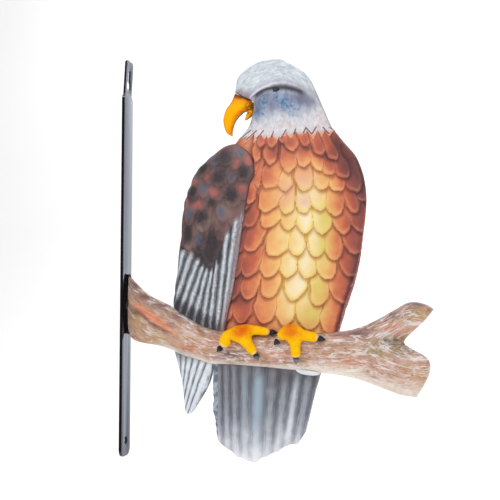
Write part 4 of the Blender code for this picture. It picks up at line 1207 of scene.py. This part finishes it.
def horn(name, outer, inner, swell, node):
    """A closed horn shape between an outer and an inner edge, the same on both sides of the mid-plane."""
    bm = bmesh.new()
    bmesh.ops.create_grid(bm, x_segments=28, y_segments=72, size=0.5)
    mesh = mesh_of(name, bm, unit=1)
    flat = places(mesh)
    u, v = 0.5 - 0.5 * np.cos(math.pi * (flat[:, 0] + 0.5)), 0.5 - flat[:, 1]
    x, z = (((1 - u)[:, None] * at_shares(curve(outer), v)) + u[:, None] * at_shares(curve(inner), v)).T
    ends = lens(0.5 + 0.5 * smooth(0.86, 1.0, v)) * np.minimum(1, lens(0.06 + v))
    depth = np.interp(v, *zip(*swell)) * lens(u, 3.2) * np.maximum(ends, 0.02)
    depth[np.minimum(np.minimum(u, 1 - u), np.minimum(v, 1 - v)) < 1e-3] = 0
    write_places(mesh, np.stack([x, -depth, z], axis=1) * MM)
    mark(mesh, "horn", (v, u, sprayed(x, z, [(134, 149, 5, 5), (131, 144, 4, 4)])))
    bm = bmesh.new()
    bm.from_mesh(mesh)
    copied = bmesh.ops.duplicate(bm, geom=bm.faces[:])["geom"]
    bmesh.ops.scale(bm, vec=(1, -1, 1), verts=of_kind(copied, bmesh.types.BMVert))
    bmesh.ops.reverse_faces(bm, faces=of_kind(copied, bmesh.types.BMFace))
    bmesh.ops.remove_doubles(bm, verts=bm.verts, dist=0.02 * MM)
    bm.to_mesh(mesh)
    bm.free()
    place_piece(mesh, "beak_paint", node)


def build_beak(settings):
    """The hooked upper beak and the small lower one."""
    horn("hook", BEAK_OUTER, BEAK_INNER, [(0, 5.6), (0.45, 4.8), (1, 1.6)], "beak_upper")
    horn("jaw", JAW_LEFT, JAW_RIGHT, [(0, 4.0), (1, 2.2)], "beak_lower")


def press_wing(x, z, u, v, lift):
    wave_x, wave_z = 0.7 * ripple(x, z, 13, 13), 0.6 * ripple(x, z, 10, 14)
    rows = [[(*feather, 6) for feather in row] for row in WING_SCALES]
    inside, shadow, along, cast, _ = lay_scales(x + wave_x, z + wave_z, rows, reach=26, roundness=0.7)
    crest, down, flow = lay_crests(x + 0.3 * ripple(x, z, 9, 15), z, WING_CRESTS)
    blades = smooth(4.5, -4.5, z - np.interp(x, *BLADES_TOP) + 1.6 * ripple(x, z, 6, 16))
    from_left, from_right = x - read(WING_LEFT, z, 1, 0), read(WING_RIGHT, z, 1, 0) - x
    scales = 0.55 * scale_relief(inside, shadow, along, lift) * (1 - blades)
    ridges = blades * (0.9 * (1 - crest**2) * smooth(-0.1, 0.25, down) - 0.4)
    rolled = 1.4 * smooth(2.6, 0, from_right) * smooth(0, 0.1, v)
    depth = wing_base(x, z) + inset(u, v, 0.04, 0.02, 0.03, 0.03) * (scales + ridges) - rolled
    spots = {key: sprayed(x, z, places_at) for key, places_at in WING_SPRAY.items()}
    return SHEET + (depth - SHEET) * closing(u, 0.02), {
        "feather": (inside, cast, z + 0.57 * x),
        "spray": (spots["charcoal"], spots["slate"], spots["rose"]),
        "ridge": (np.clip(crest + smooth(0.0, -0.22, down), 0, 1.4), blades, spots["tan"]),
        "rim": (np.minimum(from_left, 9), from_right, smooth(6.5, 2.5, from_right) * smooth(60, 30, z)),
        "flow": (flow, down * 60, 0),
    }


def press_tip(x, z, u, v):
    crest, down, flow = lay_crests(x, z, TIP_CRESTS)
    depth = tip_base(x, z) + inset(u, v, 0.08, 0.06, 0.06, 0.06) * (0.9 * (1 - crest**2) - 0.3)
    # The second ridge mark darkens the tip's top under the branch: painted shade.
    return depth, {"ridge": (crest, smooth(-112, -98, z) * 0.7, 0), "flow": (flow, down * 50, 0)}


def build_wing(settings):
    """The folded wing and its tip below the branch."""
    cell = settings.cell / MM
    bottom = rest_on_branch(wing_base, *WING_STANDS, True)
    left, right = (curve([p for p in line if p[1] > foot[1] + 4] + [tuple(foot)])
                   for line, foot in ((WING_LEFT, bottom[0]), (WING_RIGHT, bottom[-1])))
    share = np.linspace(0, 1, len(left))
    left[:, 0] -= 0.9 * np.abs(np.sin(11 * math.pi * share)) * smooth(0, 0.1, share)
    edges = (left, right, curve(WING_TOP), bottom)
    tip_top = rest_on_branch(tip_base, TIP_LEFT[0][0], TIP_RIGHT[0][0], False)
    tip_edges = (curve([tuple(tip_top[0])] + TIP_LEFT[1:]), curve([tuple(tip_top[-1])] + TIP_RIGHT[1:]),
                 tip_top, curve(TIP_END))
    press = partial(press_wing, lift=settings.feather_lift / MM)
    for label, side in SIDES.items():
        place_sheets("plumes", "wing", label, "wing_paint", pressed_sheet(side, edges, cell, press))
        place_sheets("plume_tip", "wing_tip", label, "wing_tip_paint",
                     pressed_sheet(side, tip_edges, cell, press_tip), slot="wing_paint")


def press_tail(x, z, u, v):
    crest, down, flow = lay_crests(x, z, TAIL_CRESTS)
    on_face = smooth(0.0, 2.2, x - TAIL_FOLD)
    depth = np.where(np.maximum(u, v) > 0.9999, SHEET, tail_base(x, z))
    edge = smooth(0, 0.02, 1 - u) * smooth(0, 0.05, v) * smooth(0, 0.03, 1 - v)
    depth = depth + on_face * edge * (1.3 * (1 - crest**1.7) - 0.6)
    fall = smooth(-111, -204, z + 0.22 * np.abs(x - 138))
    from_rib = x - np.interp(z, [-205, -112], [139.5, 143.5])
    blue = 0.8 * np.exp(-((from_rib / 5.6) ** 2)) + 0.26 * np.exp(-(((from_rib + 14) / 3.5) ** 2))
    bright_rib = np.interp(z, [-190, -119], [169.0, 181.5])
    light = 0.3 * np.exp(-(((x - bright_rib) / 3.2) ** 2)) * smooth(-116, -128, z) * smooth(-188, -160, z)
    light += 0.12 * smooth(156, 176, x) * smooth(-120, -135, z)
    tone = 0.05 + light + 0.95 * np.clip((-112 - z) / 92, 0, 1) * (0.5 + 0.5 * fall)
    return depth, {
        "ridge": (crest, tone, 1 - on_face),
        "flow": (flow, down * 80, blue * smooth(-198, -150, z) * smooth(-110, -128, z)),
    }


def build_tail(settings):
    """The ribbed tail below the branch, and the pale feather beside it."""
    cell = settings.cell / MM
    top = rest_on_branch(tail_base, TAIL_LEFT[0][0], TAIL_RIGHT[0][0], False)
    left = curve([tuple(top[0])] + TAIL_LEFT[1:])
    left[:, 0] += 0.5 * ripple(*left.T, 5, 21) * smooth(-112, -122, left[:, 1])
    right = curve([tuple(top[-1])] + TAIL_RIGHT[1:])
    end = curve(TAIL_END, 16)
    x = end[:, 0]
    lobes = np.interp(x, [foot_x for _, (foot_x, _) in TAIL_CRESTS], range(len(TAIL_CRESTS)))
    end[:, 1] += 1.3 * np.abs(np.sin(math.pi * lobes)) * smooth(99.5, 104, x) * smooth(188.2, 184, x)

    def covert_base(x, z):
        return tail_base(x, z) + SHEET + COVERT_GAP

    def press_covert(x, z, u, v):
        return covert_base(x, z) + 0.5 * lens(u) * lens(0.5 + 0.5 * v), {}

    covert_top = rest_on_branch(covert_base, *COVERT_STANDS, False)
    share = np.linspace(0, 1, len(covert_top))
    covert_low = covert_top - np.stack([0 * share, 0.4 + 4.2 * lens(share)], axis=1)
    covert_ends = [np.vstack([covert_top[i], covert_low[i]]) for i in (0, -1)]
    for label, side in SIDES.items():
        sheet = pressed_sheet(side, (left, right, top, end), cell, press_tail, ease=0.1)
        place_sheets("fan", "tail", label, "tail_paint", sheet)
        sheet = pressed_sheet(side, (*covert_ends, covert_top, covert_low), cell, press_covert, ease=0.1)
        place_sheets("pale_plume", "tail_covert", label, "pale_paint", sheet)


def toe_depth(x, z, radius):
    """Depth of a toe's centre line, clear of the branch and the breast under it."""
    at_x, at_z = np.array([(x + dx, z + dz) for dx in (-radius, 0, radius) for dz in (-radius, 0, radius)]).T
    under = np.maximum(branch_base(at_x, at_z), np.where(at_z > -79, body_depth(at_x, at_z), 0)).max()
    return under + radius * TOE_SKIN + TOE_GAP


def foot_mesh(name, side, knuckle, dome, toes):
    """A foot grown as a skin over a skeleton of joints, with each point's share along its toe."""
    bm = bmesh.new()
    radii, runs = [], []

    def joint(x, z, radius):
        radii.append(1.14 * radius * MM)
        return bm.verts.new((x, side * toe_depth(x, z, radius), z))

    centre = joint(*knuckle)
    bm.edges.new((centre, joint(*dome)))
    for toe in toes:
        last, where = centre, knuckle
        for step, at in enumerate(toe):
            now = joint(*at)
            bm.edges.new((last, now))
            runs.append((where, at, step / len(toe), (step + 1) / len(toe)))
            last, where = now, at
    grown = bpy.data.objects.new(name, mesh_of("skeleton", bm))
    bpy.context.scene.collection.objects.link(grown)
    grown.modifiers.new("Toes", "SKIN").branch_smoothing = 0.05
    joints = grown.data.skin_vertices[0].data
    joints[0].use_root = True
    for vertex, radius in zip(joints, radii):
        vertex.radius = (radius, radius)
    smoother = grown.modifiers.new("Round", "SUBSURF")
    smoother.levels = smoother.render_levels = 3
    made = bpy.data.meshes.new_from_object(grown.evaluated_get(bpy.context.evaluated_depsgraph_get()))
    bpy.data.objects.remove(grown)
    x, _, z = places(made).T / MM
    knots = sprayed(x, z, [(*knuckle[:2], 8.5, 5.5), (*dome[:2], 7.0, 5.0)])
    mark(made, "toe", (nearest_share(x, z, runs)[1], knots, 0.37 * side))
    made.shade_smooth()
    made.name = name
    return made


def claw_mesh(name, side, root, tip):
    """A short claw that swells towards its middle, faceted like a filed point."""
    start = Vector((root[0], side * toe_depth(*root, 3.0), root[1]))
    end = Vector((tip[0], side * toe_depth(*tip, 1.0), tip[1]))
    line = end - start
    bm = bmesh.new()
    bmesh.ops.create_cone(bm, cap_ends=True, segments=12, radius1=3.0, radius2=0.5, depth=line.length)
    long_edges = [e for e in bm.edges if abs(e.verts[0].co.z - e.verts[1].co.z) > 1]
    bmesh.ops.subdivide_edges(bm, edges=long_edges, cuts=5, use_grid_fill=True)
    for vert in bm.verts:
        fuller = 1 + 0.35 * math.sin(math.pi * (vert.co.z / line.length + 0.5))
        vert.co = vert.co * Vector((fuller, fuller, 1))
    turn = line.to_track_quat("Z", "Y").to_matrix().to_4x4()
    bmesh.ops.transform(bm, matrix=Matrix.Translation((start + end) / 2) @ turn, verts=bm.verts)
    bmesh.ops.recalc_face_normals(bm, faces=bm.faces)
    return mesh_of(name, bm, sharp=28)


def build_feet(settings):
    """Two feet on each side, each a knuckle with three toes and their claws."""
    for label, side in SIDES.items():
        for name, spec in FEET.items():
            foot = "%s_%s" % (name, label)
            made = foot_mesh("toes_" + foot, side, spec["knuckle"], spec["dome"], spec["toes"])
            place_piece(made, "foot_paint", "foot_" + foot)
            for number, (root, tip) in enumerate(spec["claws"], 1):
                claw = "%s_%d_%s" % (name, number, label)
                place_piece(claw_mesh("talon_" + claw, side, root, tip), "dark_paint", "claw_" + claw)


# ---------------------------------------------------------------- stage


def place_aimed(name, data, place, target):
    """Adds a lamp or camera that looks from a place to a target."""
    thing = bpy.data.objects.new(name, data)
    thing.location = place
    thing.rotation_euler = (Vector(target) - Vector(place)).to_track_quat("-Z", "Y").to_euler()
    bpy.context.scene.collection.objects.link(thing)
    return thing


def build_stage(settings):
    """A pale floor curving up into a backdrop, soft lights, and the camera."""
    scene = bpy.context.scene
    bm = bmesh.new()
    cove = [(BACKDROP_Y - COVE + COVE * math.sin(t), FLOOR_Z + COVE - COVE * math.cos(t))
            for t in np.linspace(0, math.pi / 2, 24)]
    outline = [(FLOOR_FRONT, FLOOR_Z), *cove, (BACKDROP_Y, BACKDROP_TOP)]
    profile = [bm.verts.new((FLOOR_LEFT, y, z)) for y, z in outline]
    edges = [bm.edges.new(pair) for pair in zip(profile, profile[1:])]
    swept = bmesh.ops.extrude_edge_only(bm, edges=edges)
    bmesh.ops.translate(bm, vec=(FLOOR_WIDTH, 0, 0), verts=of_kind(swept["geom"], bmesh.types.BMVert))
    floor = bpy.data.objects.new("studio_floor", mesh_of("studio_floor", bm, unit=1))
    floor.data.materials.append(painted("studio_floor"))
    scene.collection.objects.link(floor)

    for name, (place, target, size, power) in LAMPS.items():
        light = bpy.data.lights.new(name, "AREA")
        light.energy, light.size = power, size
        place_aimed(name, light, place, target)
    scene.world = bpy.data.worlds.new("studio")
    scene.world.use_nodes = True
    background = scene.world.node_tree.nodes["Background"]
    background.inputs["Color"].default_value = (1, 1, 1, 1)
    background.inputs["Strength"].default_value = settings.daylight

    camera = bpy.data.cameras.new("view")
    camera.lens, camera.sensor_width = VIEW_LENS, 36.0
    out = Vector((math.sin(VIEW_AROUND) * math.cos(VIEW_UP), -math.cos(VIEW_AROUND) * math.cos(VIEW_UP),
                  math.sin(VIEW_UP)))
    scene.camera = place_aimed("view", camera, VIEW_TARGET + VIEW_DISTANCE * out, VIEW_TARGET)
    scene.view_settings.view_transform = "Standard"


# ---------------------------------------------------------------- operators and panel


class EagleSettings(bpy.types.PropertyGroup):
    cell: bpy.props.FloatProperty(
        name="Mesh size", description="Size of the sheets' faces", default=0.0008, min=0.0004, max=0.005,
        unit="LENGTH", precision=5)
    feather_lift: bpy.props.FloatProperty(
        name="Feather lift", description="How far a pressed feather's tip stands out", default=0.0013,
        min=0.0, max=0.003, unit="LENGTH", precision=5)
    daylight: bpy.props.FloatProperty(
        name="Daylight", description="Strength of the even light from all sides", default=0.6, min=0.0,
        max=5.0)


class EagleStep:
    """What every building step shares: it runs its maker and reports that it has finished."""

    bl_options = {"REGISTER", "UNDO"}

    def execute(self, context):
        self.make(context.scene.eagle)
        return {"FINISHED"}

class EAGLE_OT_stage(EagleStep, bpy.types.Operator):
    """Add the floor, the lights and the camera"""

    bl_idname = "eagle.stage"
    bl_label = "Stage"
    make = staticmethod(build_stage)


class EAGLE_OT_strap(EagleStep, bpy.types.Operator):
    """Add the wall strap and the end plate"""

    bl_idname = "eagle.strap"
    bl_label = "Wall strap"
    make = staticmethod(build_strap)


class EAGLE_OT_branch(EagleStep, bpy.types.Operator):
    """Add the two halves of the forked branch and the weld beads"""

    bl_idname = "eagle.branch"
    bl_label = "Branch"
    make = staticmethod(build_branch)


class EAGLE_OT_trunk(EagleStep, bpy.types.Operator):
    """Add the feathered breast and back"""

    bl_idname = "eagle.trunk"
    bl_label = "Breast"
    make = staticmethod(build_trunk)


class EAGLE_OT_head(EagleStep, bpy.types.Operator):
    """Add the head, its collar and the eyes"""

    bl_idname = "eagle.head"
    bl_label = "Head"
    make = staticmethod(build_head)


class EAGLE_OT_beak(EagleStep, bpy.types.Operator):
    """Add the two parts of the beak"""

    bl_idname = "eagle.beak"
    bl_label = "Beak"
    make = staticmethod(build_beak)


class EAGLE_OT_wing(EagleStep, bpy.types.Operator):
    """Add the folded wing and its tip"""

    bl_idname = "eagle.wing"
    bl_label = "Wing"
    make = staticmethod(build_wing)


class EAGLE_OT_tail(EagleStep, bpy.types.Operator):
    """Add the ribbed tail and the pale feather"""

    bl_idname = "eagle.tail"
    bl_label = "Tail"
    make = staticmethod(build_tail)


class EAGLE_OT_feet(EagleStep, bpy.types.Operator):
    """Add the feet and claws"""

    bl_idname = "eagle.feet"
    bl_label = "Feet"
    make = staticmethod(build_feet)


STEPS = (EAGLE_OT_stage, EAGLE_OT_strap, EAGLE_OT_branch, EAGLE_OT_trunk, EAGLE_OT_head, EAGLE_OT_beak,
         EAGLE_OT_wing, EAGLE_OT_tail, EAGLE_OT_feet)


class EAGLE_PT_panel(bpy.types.Panel):
    """Lists the building steps"""

    bl_label = "Eagle"
    bl_idname = "EAGLE_PT_panel"
    bl_space_type = "VIEW_3D"
    bl_region_type = "UI"
    bl_category = "Eagle"

    def draw(self, context):
        settings = context.scene.eagle
        for name in ("cell", "feather_lift", "daylight"):
            self.layout.prop(settings, name)
        for step in STEPS:
            self.layout.operator(step.bl_idname)


CLASSES = (EagleSettings, *STEPS, EAGLE_PT_panel)


def register():
    for cls in CLASSES:
        bpy.utils.register_class(cls)
    bpy.types.Scene.eagle = bpy.props.PointerProperty(type=EagleSettings)


def unregister():
    del bpy.types.Scene.eagle
    for cls in reversed(CLASSES):
        bpy.utils.unregister_class(cls)


def main():
    register()
    for step in STEPS:
        group, name = step.bl_idname.split(".")
        getattr(getattr(bpy.ops, group), name)()


if __name__ == "__main__":
    main()
